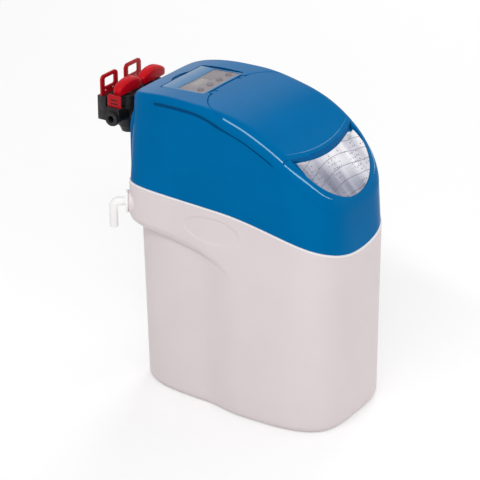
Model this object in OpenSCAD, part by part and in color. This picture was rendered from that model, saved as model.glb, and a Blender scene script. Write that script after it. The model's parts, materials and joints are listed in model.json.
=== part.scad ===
// Compact cabinet water softener: brine tank, lofted cover with salt lid,
// resin vessel, control valve and rear bypass with two quarter-turn handles.
// Millimetres, +Z up. The origin is the middle of the cabinet on the floor,
// the front looks along -Y and the plumbing is at +Y.

/* [Cabinet] */
// Width of the cabinet at the belt
cabinet_w = 230; // [222:1:240]
// Reach of the cabinet to the front at the belt
front_reach = 186; // [182:0.5:190]
// Reach of the cabinet to the back at the belt
back_reach = 189.5; // [186:0.5:193]
// Height of the highest line of the cover
top_h = 508; // [480:1:540]
// Height of the cover at the back, from the seam up
cover_h = 150; // [142:1:160]
// Fall of the seam from the back to the front
seam_fall = 60; // [50:1:66]
// Height of the belt at the back, from its underside to the seam
belt_w = 74; // [68:1:80]
// Wall of the brine tank
tank_wall = 4; // [3:0.5:5]
// Floor of the brine tank
tank_floor = 5; // [4:0.5:8]
// Step in from the belt to the rear lobe on each side
lobe_step = 10; // [7:0.5:13]
// Radius along the foot of the tank
foot_r = 8; // [5:0.5:12]

/* [Cover] */
// Wall of the cover
cover_wall = 3; // [2.4:0.1:3.6]
// White rim of the tank left showing under the cover
reveal = 1.5; // [1:0.1:2.5]
// Lean of the cover's flanks from the belt to the crest
crest_lean = 6; // [4:0.5:9]
// Lean of the cover's front
front_lean = 5; // [3:0.5:9]
// Lean of the cover's back
back_lean = 2; // [1.5:0.5:3.5]
// Drop of the roof from its highest line to the front rim
rim_drop = 129; // [120:1:136]
// Radius of the crest beside the lid
side_fillet = 20; // [16:1:24]
// Radius of the crest around the display deck
deck_fillet = 10; // [8:1:14]

/* [Salt lid] */
// Rear edge of the lid opening
mouth_back_y = 67; // [64:0.5:67]
// Gap around the lid
lid_gap = 0.8; // [0.5:0.1:1.2]
// Wall of the lid
lid_wall = 3; // [2.4:0.1:3.6]
// Front corners of the lid
lip_tip_y = -108; // [-112:1:-104]
// Forward bow of the lid's front lip
lip_bow = 15; // [10:1:18]
// Diameter of the hinge rod
hinge_rod_d = 3; // [2.5:0.1:3.4]
// Diameter of the lid's hinge barrel
hinge_barrel_d = 7; // [6.4:0.1:7.4]

/* [Display] */
// Width of the display panel
panel_w = 111; // [106:0.5:112]
// Depth of the display panel
panel_d = 78; // [74:0.5:78]
// Slope of the panel down to the rear
panel_tilt = 2.5; // [1.5:0.5:3]
// Width of the silver overlay
overlay_w = 101; // [96:0.5:102]
// Depth of the silver overlay
overlay_d = 47; // [44:0.5:50]
// Diameter of a key
key_d = 11; // [9:0.5:13]
// Travel of a key
key_travel = 0.8; // [0.5:0.1:1]
// Spacing of the keys
key_pitch = 26; // [22:0.5:28]

/* [Bypass] */
// Spacing of the inlet and outlet
port_pitch = 63; // [61:0.5:66]
// Depth of the port axis below the highest line
port_drop = 69; // [64:0.5:73]
// Bore of the rear pipe sockets
socket_d = 22; // [20:0.5:23]
// Depth of the rear pipe sockets
socket_depth = 22; // [18:0.5:24]
// Diameter of a rotor
rotor_d = 26; // [24:0.5:27]
// Running gap around a rotor
rotor_gap = 0.1; // [0.05:0.01:0.15]
// Gap between the two handles when they lie in line
handle_gap = 2; // [1:0.5:7]
// Width of a handle
handle_w = 18; // [16:0.5:20]
// Bore of the side port
side_bore_d = 11; // [9:0.5:13]
// Thickness of the retaining clips
clip_t = 3.2; // [2.6:0.1:3.6]

/* [Water side] */
// Diameter of the resin vessel
vessel_d = 160; // [150:1:166]
// Diameter of the piston
piston_d = 30; // [28:0.5:31]
// Travel of the piston
piston_travel = 24; // [16:1:24]
// Diameter of the brine well
well_d = 64; // [58:1:66]
// Travel of the brine float
float_travel = 60; // [40:1:80]
// Outer diameter of the overflow tube
overflow_d = 14; // [12:0.5:15]

/* [Hidden] */

$fn = 64;
e = 0.05;

white = "#ddd4d5";
blue = "#00699f";
deep_blue = "#015a8c";
silver = "#a8a4a8";
red = "#c20a1c";
dark_red = "#9c1420";
black = "#1d1c1f";
grey = "#8a8c90";
steel = "#b9bcc0";

half_w = cabinet_w / 2;
seam_back_h = top_h - cover_h;
seam_front_h = seam_back_h - seam_fall;
belt_h = seam_back_h - belt_w;
lobe_w = cabinet_w - 2 * lobe_step;
crest_w = cabinet_w - 2 * crest_lean;
crest_front = front_reach - front_lean;
crest_back = back_reach - back_lean;
port_h = top_h - port_drop;
handle_l = port_pitch - handle_gap;

// Shared shape helpers
function mix(a, b, t) = a + (b - a) * t;
function ease(t) = let (s = min(1, max(0, t))) s * s * (3 - 2 * s);
function at(p, z) = [p[0], p[1], z];
// Point of a superellipse in direction q
function polar(q, a, b, n) =
    let (r = pow(pow(abs(cos(q)) / a, n) + pow(abs(sin(q)) / b, n), -1 / n))
    [r * cos(q), r * sin(q)];

// Directions around the cabinet, closer together at the corners
corner_steps = 9;
corner_q = 60;
corner_bunch = 1.5;
quarter = 2 * corner_steps;
function station(k) =
    let (v = k / corner_steps - 1)
    v < 0 ? corner_q * (1 - pow(-v, corner_bunch))
        : corner_q + (90 - corner_q) * pow(v, corner_bunch);
// The front corner of the lid is one of the directions, so that the cover and the lid share it
crest_front_n = 4;
mouth_edge = 3.5;
tip_x = crest_w / 2 * pow(1 - pow(-lip_tip_y / crest_front, crest_front_n), 1 / crest_front_n);
tip_q = atan2(-lip_tip_y, tip_x - mouth_edge);
tip_space = 0.6;
front_q = concat(
    [for (k = [0 : quarter - 1]) if (station(k) < tip_q - tip_space) station(k)],
    [tip_q],
    [for (k = [0 : quarter - 1]) if (station(k) > tip_q + tip_space) station(k)]);
around = concat(
    [for (k = [0 : quarter - 1]) station(k)],
    [for (k = [quarter : -1 : 1]) 180 - station(k)],
    [for (q = front_q) 180 + q],
    [270],
    [for (k = [len(front_q) - 1 : -1 : 1]) 360 - front_q[k]]);

function mean_point(r) = [for (i = [0 : 2]) ([for (p = r) p[i]] * [for (p = r) 1]) / len(r)];

// Closed skin over a stack of rings. An open stack is capped by fans,
// and a looped stack returns from its last ring to its first.
module skin(rings, looped = false) {
    n = len(rings[0]);
    m = len(rings);
    last = (m - 1) * n;
    ring_points = [for (r = rings) each r];
    sides = [for (i = [0 : m - (looped ? 1 : 2)], k = [0 : n - 1])
        let (a = i * n, b = ((i + 1) % m) * n, j = (k + 1) % n)
        each [[a + k, b + j, a + j], [a + k, b + k, b + j]]];
    caps = looped ? [] : [for (k = [0 : n - 1]) let (j = (k + 1) % n)
        each [[m * n, k, j], [m * n + 1, last + j, last + k]]];
    tips = looped ? [] : [mean_point(rings[0]), mean_point(rings[m - 1])];
    polyhedron(concat(ring_points, tips), concat(sides, caps));
}

module tube(outer_d, inner_d, h) {
    difference() {
        cylinder(d = outer_d, h = h);
        translate([0, 0, -e]) cylinder(d = inner_d, h = h + 2 * e);
    }
}

module along_y() rotate([-90, 0, 0]) children();
module along_x() rotate([0, 90, 0]) children();

// Cabinet outline at the belt, and the seam that swings down to the front
belt_front_n = 4;
belt_rear_n = 8;
seam_bend_y = 135;
function cabinet_reach(y) = y < 0 ? front_reach : back_reach;
function belt_n(y) = y < 0 ? belt_front_n : belt_rear_n;
function belt(q, inset) = polar(q, half_w - inset, cabinet_reach(sin(q)) - inset, belt_n(sin(q)));
function seam_z(y) = seam_back_h
    - (seam_back_h - seam_front_h) * pow(max(0, (seam_bend_y - y) / (seam_bend_y + front_reach)), 3);

// Lower tank: a round lobe at the rear that runs into the full width at the front
lobe_n = 4;
lobe_draft = 9;
waist_y = 2;
waist_l = 60;
waist_rise = 10;
function lobe(q, z, inset) =
    polar(q, lobe_w / 2 - inset, back_reach - reveal - lobe_draft * (1 - z / belt_h) - inset, lobe_n);
function tank_side(q, z, inset) =
    let (b = belt(q, inset))
    mix(b, lobe(q, z, inset), ease((b[1] - waist_y - waist_rise * z / belt_h) / waist_l + 0.5));

// Underside of the belt, which fades out along the flank
belt_bend_y = 150;
belt_fade_y = -14;
belt_fade_drop = 32;
belt_drop_max = 43;
function belt_z(y) = belt_h
    - min(belt_drop_max, belt_fade_drop * pow(max(0, (belt_bend_y - y) / (belt_bend_y - belt_fade_y)), 2));

function flat_ring(z, inset) = [for (q = around) at(tank_side(q, z, inset), z)];
function belt_ring(dz, blend, inset) = [for (q = around)
    let (b = belt(q, inset), low = tank_side(q, belt_h, inset))
    at(mix(low, b, blend), belt_z(b[1]) + dz)];
function seam_ring(dz, inset) = [for (q = around) let (p = belt(q, inset)) at(p, seam_z(p[1]) + dz)];

ledge_w = 6.2;
lip_t = 2.6;
lip_h = 8;
mid_h = belt_h - 174;
high_h = belt_h - 94;
overflow_z = belt_h + 33;
overflow_q = 118;
overflow_foot = belt(overflow_q, 0);
// Direction square to the belt at the overflow
overflow_run = belt(overflow_q + 0.5, 0) - belt(overflow_q - 0.5, 0);
overflow_turn = atan2(overflow_run[1], overflow_run[0]) + 270;
boss_d = 38;
boss_out = 1;
boss_in = 14;
gasket_t = 1.5;
oval_y = 16;
oval_z = belt_h + 29;
oval_l = 100;
oval_h = 42;
oval_in = 1.2;
oval_steps = 48;

module at_overflow() translate(at(overflow_foot, overflow_z)) rotate([0, 90, overflow_turn]) children();

// Shallow oval moulded into each flank of the belt
module oval_cut(side) translate([side > 0 ? half_w - oval_in : -half_w - oval_in, oval_y, oval_z])
    rotate([90, 0, 90]) linear_extrude(2 * oval_in) polygon([for (k = [0 : oval_steps - 1])
        let (t = 360 * k / oval_steps) [oval_l / 2 * cos(t), oval_h / 2 * sin(t)]]);

module brine_tank() color(white) difference() {
    union() {
        skin([
            flat_ring(0, foot_r), flat_ring(foot_r * 0.2, foot_r * 0.4),
            flat_ring(foot_r * 0.65, foot_r * 0.1), flat_ring(foot_r * 1.6, 0),
            flat_ring(mid_h, 0), flat_ring(high_h, 0),
            belt_ring(-6, 0, 0), belt_ring(-4.5, 0.25, 0), belt_ring(0, 0.6, 0),
            belt_ring(6, 0.87, 0), belt_ring(14, 1, 0),
            seam_ring(-1.2, 0), seam_ring(0, 0.8), seam_ring(0, ledge_w),
            seam_ring(lip_h, ledge_w + 0.2), seam_ring(lip_h, ledge_w + lip_t),
            seam_ring(-6, ledge_w + lip_t), belt_ring(16, 1, tank_wall),
            belt_ring(2, 0.5, tank_wall), belt_ring(-8, 0, tank_wall),
            flat_ring(high_h, tank_wall), flat_ring(mid_h, tank_wall),
            flat_ring(tank_floor + foot_r * 1.5, tank_wall),
            flat_ring(tank_floor + foot_r * 0.3, tank_wall + foot_r * 0.3),
            flat_ring(tank_floor, tank_wall + foot_r)]);
        at_overflow() translate([0, 0, -boss_in]) cylinder(d = boss_d, h = boss_in + boss_out);
    }
    for (side = [-1, 1]) oval_cut(side);
    at_overflow() translate([0, 0, -boss_in - e])
        cylinder(d = overflow_d + 2, h = boss_in + boss_out + 2 * e);
}

// Overflow elbow through the rear left corner
elbow_reach = 25;
elbow_drop = 43;
elbow_bend = 9;
elbow_wall = 2;
nut_t = 6;

module overflow_gasket() color(grey) at_overflow() translate([0, 0, boss_out])
    tube(boss_d - 4, overflow_d + 0.6, gasket_t - 0.1);

module elbow_path(d) {
    straight = elbow_reach - elbow_bend;
    translate([0, 0, -boss_in - nut_t]) cylinder(d = d, h = boss_in + nut_t + boss_out + straight);
    translate([elbow_bend, 0, boss_out + straight]) rotate([90, 0, 180])
        rotate_extrude(angle = 90) translate([elbow_bend, 0]) circle(d = d);
    translate([elbow_bend, 0, boss_out + elbow_reach]) along_x()
        cylinder(d = d, h = elbow_drop - elbow_bend);
}

module overflow_elbow() color(white) at_overflow() difference() {
    union() {
        elbow_path(overflow_d);
        translate([0, 0, boss_out + gasket_t]) cylinder(d = boss_d - 1, h = 3);
    }
    translate([0, 0, -e]) elbow_path(overflow_d - 2 * elbow_wall);
    translate([0, 0, -boss_in - nut_t - e]) cylinder(d = overflow_d - 2 * elbow_wall, h = nut_t + boss_in);
    translate([elbow_drop - e, 0, boss_out + elbow_reach]) along_x()
        cylinder(d = overflow_d - 2 * elbow_wall, h = 1);
}

module overflow_nut() color(white) at_overflow() translate([0, 0, -boss_in - nut_t])
    difference() {
        cylinder(d = boss_d - 10, h = nut_t - 0.3, $fn = 6);
        translate([0, 0, -e]) cylinder(d = overflow_d + 0.1, h = nut_t);
    }

// Resin vessel standing in the rear lobe
vessel_wall = 4;
vessel_gap = 11;
vessel_y = back_reach - reveal - lobe_draft - tank_wall - vessel_gap - vessel_d / 2;
vessel_foot = tank_floor + 0.3;
dome_h = 42;
neck_d = 84;
neck_h = 14;
neck_bore_d = 66;
riser_d = 26;
valve_rise = 68;
neck_top = port_h - valve_rise;
vessel_top = neck_top - neck_h;

module vessel_profile(inset) {
    r = vessel_d / 2 - inset;
    base = vessel_foot + inset;
    top = vessel_top - inset;
    dome = [for (k = [0 : 8]) let (t = 90 * k / 8)
        [max(neck_d / 2 - inset, r * cos(t)), top - dome_h + dome_h * sin(t)]];
    heel = [for (k = [0 : 6]) let (t = 90 * k / 6)
        [r - dome_h * (1 - sin(t)), base + dome_h * (1 - cos(t))]];
    polygon(concat([[0, base]], heel, dome, [[0, top]]));
}

module resin_vessel() color(grey) translate([0, vessel_y, 0]) difference() {
    union() {
        rotate_extrude() vessel_profile(0);
        translate([0, 0, vessel_top - 2]) cylinder(d = neck_d, h = neck_h + 2);
    }
    rotate_extrude() vessel_profile(vessel_wall);
    translate([0, 0, vessel_top - dome_h / 2]) cylinder(d = neck_bore_d, h = neck_h + dome_h);
}

strainer_h = 34;
strainer_d = 44;
strainer_z = vessel_foot + vessel_wall + 0.2;
module lower_strainer() color(white) translate([0, vessel_y, strainer_z]) difference() {
    cylinder(d1 = strainer_d, d2 = strainer_d - 10, h = strainer_h);
    translate([0, 0, 4]) cylinder(d = riser_d + 0.1, h = strainer_h);
    for (k = [0 : 7]) rotate([0, 0, 45 * k]) translate([strainer_d / 2 - 5, -1, 8])
        cube([10, 2, strainer_h - 16]);
}

module riser_tube() color(white) translate([0, vessel_y, strainer_z + 4])
    tube(riser_d, riser_d - 4, neck_top - strainer_z - 12);

// Control valve on the vessel neck, with its piston bore along Y
valve_base_h = 16;
valve_wall = 7;
bore_front_y = vessel_y - 40;
bore_back_y = vessel_y + 44;
barrel_d = piston_d + 2 * valve_wall;
valve_z = port_h;
port_bore_d = 17;
port_d = 27;
port_back_y = back_reach - 9.5;
bore_end = 6;
cap_t = 8;
rod_d = 8;
rod_gap = 0.1;
column_d = 56;
manifold_y = vessel_y + 32;
side_boss = 7;
injector_y = vessel_y + 4;
fitting_y = vessel_y + 4;
tube_z = port_h - 6;
drain_z = port_h - 26;
drain_d = 12;
drain_y = vessel_y + 24;

module valve_body() color(black) difference() {
    union() {
        translate([0, vessel_y, neck_top]) cylinder(d = neck_d + 6, h = valve_base_h);
        translate([0, vessel_y, neck_top - 20]) cylinder(d = neck_bore_d - 0.4, h = 21);
        translate([0, vessel_y, neck_top]) cylinder(d = column_d, h = valve_z - neck_top);
        translate([0, bore_front_y, valve_z]) along_y()
            cylinder(d = barrel_d, h = bore_back_y + bore_end - bore_front_y);
        translate([-port_pitch / 2 - port_d / 2, manifold_y - port_d / 2, valve_z - port_d / 2])
            cube([port_pitch + port_d, port_d, port_d]);
        for (s = [-1, 1]) translate([s * port_pitch / 2, manifold_y, valve_z]) along_y()
            cylinder(d = port_d, h = port_back_y - manifold_y);
        for (k = [0 : 2]) translate([0, bore_front_y + 6 + 11 * k, valve_z]) along_y()
            cylinder(d = barrel_d + 4, h = 3);
        translate([0, injector_y, valve_z]) rotate([0, -90, 0])
            cylinder(d = 24, h = barrel_d / 2 + side_boss);
        translate([0, fitting_y, tube_z]) along_x() cylinder(d = 20, h = barrel_d / 2 + side_boss);
    }
    translate([0, bore_front_y - e, valve_z]) along_y()
        cylinder(d = piston_d, h = bore_back_y - bore_front_y);
    for (s = [-1, 1]) translate([s * port_pitch / 2, manifold_y, valve_z]) along_y()
        cylinder(d = port_bore_d, h = port_back_y);
    translate([0, vessel_y, neck_top - 20 - e]) cylinder(d = riser_d + 0.3, h = 21);
    translate([0, drain_y, drain_z]) along_y()
        cylinder(d = drain_d, h = bore_back_y + bore_end - drain_y + 1);
}

module valve_end_cap() color(black) translate([0, bore_front_y - cap_t, valve_z]) along_y() difference() {
    union() {
        cylinder(d = barrel_d + 4, h = cap_t);
        cylinder(d = piston_d - 0.4, h = cap_t + 4);
        for (k = [0 : 5]) rotate([0, 0, 60 * k]) translate([barrel_d / 2 + 1, 0, 0])
            cylinder(d = 7, h = cap_t);
    }
    translate([0, 0, -e]) cylinder(d = rod_d + 2 * rod_gap, h = cap_t + 5);
}

// Rack and pinion that shifts the piston
tooth_m = 1.5;
gear_teeth = 14;
gear_r = tooth_m * gear_teeth / 2;
tooth_pitch = PI * tooth_m;
tooth_w = 0.42 * tooth_pitch;
tooth_tip = 0.26 * tooth_pitch;
tooth_add = 0.8 * tooth_m;
tooth_ded = 1.15 * tooth_m;
gear_t = 7;
rack_w = 8;
rack_pitch_x = rod_d / 2 + tooth_add;
gear_x = rack_pitch_x + gear_r;
rack_back_y = bore_front_y - cap_t - piston_travel - 1;
gear_y = rack_back_y - 8;
rack_l = piston_travel + 17;
piston_front_y = bore_front_y + 5;
piston_l = bore_back_y - piston_front_y - piston_travel - 1;
piston_land = 5;
piston_gap = 0.05;

module piston() color(white) {
    translate([0, piston_front_y, valve_z]) along_y() {
        difference() {
            cylinder(d = piston_d - 2 * piston_gap, h = piston_l);
            for (k = [0 : 2]) translate([0, 0, piston_land + k * (piston_l - piston_land) / 3])
                tube(piston_d + 2, piston_d - 8, (piston_l - piston_land) / 3 - piston_land);
        }
        translate([0, 0, rack_back_y - 1 - piston_front_y])
            cylinder(d = rod_d, h = piston_front_y - rack_back_y + 2);
    }
    translate([0, rack_back_y - rack_l, valve_z - rack_w / 2]) {
        translate([-rod_d / 2, 0, 0]) cube([rod_d / 2 + rack_pitch_x - tooth_ded, rack_l, rack_w]);
        linear_extrude(rack_w) for (k = [-12 : 3])
            let (y = gear_y - rack_back_y + rack_l + tooth_pitch * (k + 0.5))
            if (y > tooth_w && y < rack_l - tooth_w)
                polygon([[rack_pitch_x - tooth_ded - 0.2, y - tooth_w * 0.7],
                    [rack_pitch_x + tooth_add, y - tooth_tip / 2],
                    [rack_pitch_x + tooth_add, y + tooth_tip / 2],
                    [rack_pitch_x - tooth_ded - 0.2, y + tooth_w * 0.7]]);
    }
}

motor_d = 38;
motor_h = 22;
motor_z = valve_z + gear_t / 2 + 9;
bracket_t = 3;
shaft_d = 5;
shaft_gap = 0.05;

module drive_gear() color(white) translate([gear_x, gear_y, valve_z - gear_t / 2]) {
    root_r = gear_r - tooth_ded;
    tip_r = gear_r + tooth_add;
    half_root = 360 / gear_teeth * 0.29;
    half_tip = 360 / gear_teeth * 0.11;
    difference() {
        linear_extrude(gear_t) polygon([for (k = [0 : gear_teeth - 1])
            let (a = 180 + 360 / gear_teeth * k)
            each [root_r * [cos(a - half_root), sin(a - half_root)],
                tip_r * [cos(a - half_tip), sin(a - half_tip)],
                tip_r * [cos(a + half_tip), sin(a + half_tip)],
                root_r * [cos(a + half_root), sin(a + half_root)]]]);
        translate([0, 0, -e]) cylinder(d = shaft_d, h = gear_t / 2);
    }
    cylinder(d = shaft_d, h = motor_z - valve_z + gear_t / 2 + 4);
}

module drive_motor() color(grey) translate([gear_x, gear_y, motor_z]) difference() {
    union() {
        cylinder(d = motor_d, h = motor_h);
        translate([-9, motor_d / 2 - 4, 4]) cube([18, 8, motor_h - 8]);
    }
    translate([0, 0, -e]) cylinder(d = shaft_d + 2 * shaft_gap, h = 5);
}

module motor_bracket() color(steel) difference() {
    union() {
        translate([gear_x, gear_y, motor_z - bracket_t]) cylinder(d = motor_d + 6, h = bracket_t);
        translate([gear_x - 10, gear_y, motor_z - bracket_t])
            cube([20, bore_front_y - cap_t - gear_y, bracket_t]);
        translate([gear_x - 10, bore_front_y - cap_t - bracket_t, valve_z + gear_t])
            cube([20, bracket_t, motor_z - valve_z - gear_t]);
    }
    translate([gear_x, gear_y, motor_z - bracket_t - e]) cylinder(d = shaft_d + 2, h = bracket_t + 2 * e);
}

module injector_cap() color(grey) translate([-barrel_d / 2 - side_boss, injector_y, valve_z])
    rotate([0, -90, 0]) {
        cylinder(d = 22, h = 10);
        translate([0, 0, 10]) cylinder(d = 14, h = 4, $fn = 6);
    }

barb_l = 21;
module drain_barb() color(grey) translate([0, drain_y + 0.1, drain_z]) along_y() difference() {
    union() {
        cylinder(d = drain_d, h = back_reach + barb_l - drain_y);
        for (k = [0 : 2]) translate([0, 0, back_reach - drain_y + barb_l - 15 + 5 * k])
            cylinder(d1 = drain_d + 2.4, d2 = drain_d, h = 4.5);
    }
    translate([0, 0, 6]) cylinder(d = drain_d - 4, h = back_reach);
}

// Brine well, pickup and float in the salt space
well_gap = 17;
well_x = half_w - tank_wall - well_gap - well_d / 2;
well_y = vessel_y - 118;
well_wall = 2;
well_foot = tank_floor + 0.2;
well_top = seam_front_h + 7;
tube_d = 10;
tube_bend = 18;

module brine_well() color(white) translate([well_x, well_y, well_foot]) difference() {
    tube(well_d, well_d - 2 * well_wall, well_top - well_foot);
    for (k = [0 : 3]) rotate([0, 0, 45 + 90 * k]) translate([well_d / 2 - 6, -3, -e]) cube([12, 6, 30]);
}

module brine_well_cap() color(white) translate([well_x, well_y, well_top + 0.1]) difference() {
    union() {
        cylinder(d = well_d + 4, h = 3);
        translate([0, 0, -10]) tube(well_d - 2 * well_wall - 0.4, well_d - 2 * well_wall - 4, 11);
        cylinder(d = tube_d + 8, h = 9);
    }
    translate([0, 0, -1]) cylinder(d = tube_d + 0.2, h = 12);
}

check_h = 26;
check_d = 26;
check_z = tank_floor + 3;
module air_check() color(grey) translate([well_x, well_y, check_z]) difference() {
    cylinder(d = check_d, h = check_h);
    translate([0, 0, check_h - socket_in]) cylinder(d = tube_d, h = socket_in + e);
    for (k = [0 : 5]) rotate([0, 0, 60 * k]) translate([check_d / 2 - 4, -1.5, 4]) cube([8, 3, 9]);
}

float_h = 44;
float_neck_h = 6;
float_gap = 0.3;
float_z = check_z + check_h + 0.5;
module brine_float() color(white) translate([well_x, well_y, float_z]) difference() {
    union() {
        cylinder(d = well_d - 2 * well_wall - 12, h = float_h);
        cylinder(d = tube_d + 8, h = float_h + float_neck_h);
    }
    translate([0, 0, -e]) cylinder(d = tube_d + 2 * float_gap, h = float_h + float_neck_h + 2 * e);
}

// Pickup tube in the check, with the collar that stops the float
socket_in = 10;
tube_wall = 1.5;
stop_d = tube_d + 6;
stop_h = 3;
stop_gap = 0.4;
pickup_z = check_z + check_h - socket_in;
pickup_top = well_top + 8;
module brine_pickup() color(white) translate([well_x, well_y, 0]) difference() {
    union() {
        translate([0, 0, pickup_z]) cylinder(d = tube_d, h = pickup_top - pickup_z);
        translate([0, 0, float_z + float_h + float_neck_h + float_travel + stop_gap])
            cylinder(d = stop_d, h = stop_h);
    }
    translate([0, 0, pickup_z - e]) cylinder(d = tube_d - 2 * tube_wall, h = pickup_top - pickup_z + 2 * e);
}

fitting_d = 18;
module brine_fitting() color(grey) {
    translate([barrel_d / 2 + side_boss, fitting_y, tube_z]) along_x() difference() {
        cylinder(d = fitting_d, h = well_x - barrel_d / 2 - side_boss + fitting_d / 2);
        translate([0, 0, -e]) cylinder(d = 6, h = well_x - barrel_d / 2 - side_boss);
    }
    translate([well_x, fitting_y - fitting_d / 2 - 7, tube_z]) along_y() tube(tube_d + 6, tube_d, 9);
}

module brine_tube() color(white) {
    run = fitting_y - fitting_d / 2 - 0.5 - well_y - tube_bend;
    drop = tube_z - tube_bend - pickup_top - 0.2;
    difference() {
        union() {
            translate([well_x, well_y + tube_bend, tube_z]) along_y() cylinder(d = tube_d, h = run);
            translate([well_x, well_y + tube_bend, tube_z - tube_bend]) rotate([90, 0, -90])
                rotate_extrude(angle = 90) translate([tube_bend, 0]) circle(d = tube_d);
            translate([well_x, well_y, pickup_top + 0.2]) cylinder(d = tube_d, h = drop);
        }
        translate([well_x, well_y, pickup_top]) cylinder(d = tube_d - 2 * tube_wall, h = drop);
    }
}

// Cover: roof profile, crest outline and the lid opening
crest_taper = 0.0005;
crest_widest_y = -60;
peak_y = 95;
rear_drop = 12.5;
roof_power = 2.75;
seam_gap = 0.2;

function narrow(y) = 1 - crest_taper * max(0, y - crest_widest_y);
function reach(y) = y < 0 ? crest_front : crest_back;
function crest_n(y) = y < 0 ? crest_front_n : belt_rear_n;
function crest(q, inset) =
    let (p = polar(q, crest_w / 2 - inset, reach(sin(q)) - inset, crest_n(sin(q))))
    [p[0] * narrow(p[1]), p[1]];
function roof_top(y) = y < peak_y
    ? top_h - rim_drop * pow((peak_y - y) / (peak_y + crest_front), roof_power)
    : top_h - rear_drop * pow((y - peak_y) / (crest_back - peak_y), 2);
function crest_r(y) = mix(side_fillet, deck_fillet, ease((y + 20) / 80));
function round_off(d, r) = d >= r ? 0 : r * pow(1 - sqrt(max(0, d) / r), 2);
// Distance from the crest outline to a point inside it
function depth_in(p, inset) =
    let (a = crest_w / 2 - inset, b = reach(p[1]) - inset, n = crest_n(p[1]),
         x = abs(p[0]) / narrow(p[1]) / a, y = abs(p[1]) / b,
         rho = pow(pow(x, n) + pow(y, n), 1 / n))
    (1 - rho) / norm([pow(x / rho, n - 1) / a, pow(y / rho, n - 1) / b]);
function roof_z(p, inset) =
    roof_top(p[1]) - inset - round_off(depth_in(p, inset), crest_r(p[1]) - inset);
function on_roof(p, inset) = at(p, roof_z(p, inset));

// Opening under the lid: along the crest at the sides, rounded at the rear
mouth_turn_y = 2;
mouth_n = 2.2;
mouth_blend = 0.2;
mouth_half_w = crest_w / 2 * narrow(mouth_turn_y) - mouth_edge - 2;
function rear_share(q) = ease(sin(q) / mouth_blend);
// Front part of the opening, which frames the window plate
window_y = lip_tip_y;
window_side = 20;
window_rim = 5;
window_half_w = crest_w / 2 - window_side;
window_reach = crest_front + lip_tip_y - window_rim;
window_n = 2.3;
window_span = 85;
window_from_q = 227;
function window_frame(q, gap) =
    let (t = 270 + (q - 270) / (270 - window_from_q) * window_span)
    polar(t, window_half_w - gap, window_reach - gap, window_n) + [0, window_y];
function front_share(q) = ease((lip_tip_y - 4 - crest(q, 0)[1]) / 6);
function mouth(q, gap) =
    front_share(q) > 0 ? mix(crest(q, mouth_edge + gap), window_frame(q, gap), front_share(q))
    : mix(crest(q, mouth_edge + gap),
        polar(q, mouth_half_w - gap, mouth_back_y - mouth_turn_y - gap, mouth_n) + [0, mouth_turn_y],
        rear_share(q));

lid_seat = 8.6;
window_seat = 11;
function seat_drop(y) = mix(lid_seat, window_seat, ease((lip_tip_y + 18 - y) / 18));
function seat_z(y) = roof_top(y) - seat_drop(y);
seat_w = 7;
seat_t = 2.5;
seat_back = 2.5;

function wall_point(q, u, inset) =
    let (s = belt(q, reveal + inset), c = crest(q, inset))
    mix(at(s, seam_z(s[1]) + seam_gap), at(c, roof_top(c[1]) - crest_r(c[1])), u);
function wall_ring(u, inset) = [for (q = around) wall_point(q, u, inset)];

// Styling groove along each flank, just below the crest
groove_in = 1.4;
groove_front_y = -72;
groove_back_y = 138;
groove_fade = 14;
function groove_mask(y) =
    ease((y - groove_front_y) / groove_fade) * ease((groove_back_y - y) / groove_fade);
function groove_ring(below, depth) = [for (q = around)
    let (c = crest(q, 0), tall = roof_top(c[1]) - crest_r(c[1]) - seam_z(c[1]))
    wall_point(q, 1 - below / tall, depth * groove_mask(c[1]))];
function crest_ring(d) = [for (q = around)
    let (p = crest(q, d)) at(p, roof_top(p[1]) - round_off(d, crest_r(p[1])))];

crest_start = 2.4;
deck_steps = 5;
function deck_ring(w) = [for (q = around)
    on_roof(mix(crest(q, crest_start), mouth(q, 0), mix(w, w * w, rear_share(q))), 0)];
function seat_ring(gap, dz) = [for (q = around) let (p = mouth(q, gap)) at(p, seat_z(p[1]) - dz)];
under_steps = 4;
function under_ring(w, share) = [for (q = around)
    let (p = mix(mouth(q, -seat_back), crest(q, cover_wall), 1 - pow(1 - w, 2)),
         rear = share < 0 ? at(p, seat_z(p[1]) - seat_t) : on_roof(p, cover_wall))
    mix(wall_point(q, 0.985 - 0.05 * (w + share + 1) / 2, cover_wall), rear, rear_share(q))];

panel_front_y = mouth_back_y + 2.4;
panel_y = panel_front_y + panel_d / 2;
panel_sink = 0.5;
panel_z = roof_top(panel_front_y) - panel_sink - panel_d / 2 * sin(panel_tilt);
panel_gap = 0.6;
panel_t = 3;
panel_ledge = 5;
deck_bite = 0.3;
frame_w = 2.5;
frame_t = 3;
module on_panel() translate([0, panel_y, panel_z]) rotate([-panel_tilt, 0, 0]) children();
// Panel-shaped block with rounded corners, its top face at height 0
module rounded_slab(w, d, h, r) translate([0, 0, -h]) linear_extrude(h) {
    square([w, d - 2 * r], center = true);
    square([w - 2 * r, d], center = true);
    for (x = [-1, 1], y = [-1, 1]) translate([x * (w / 2 - r), y * (d / 2 - r)]) circle(r = r);
}

slot_w = port_pitch + port_d + 14;
slot_top = port_h + port_d / 2 + 8;
thumb_w = 40;
thumb_l = 9;
thumb_in = 1.8;
thumb_r = (thumb_w * thumb_w / 4 + thumb_l * thumb_l) / (2 * thumb_l);

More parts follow.
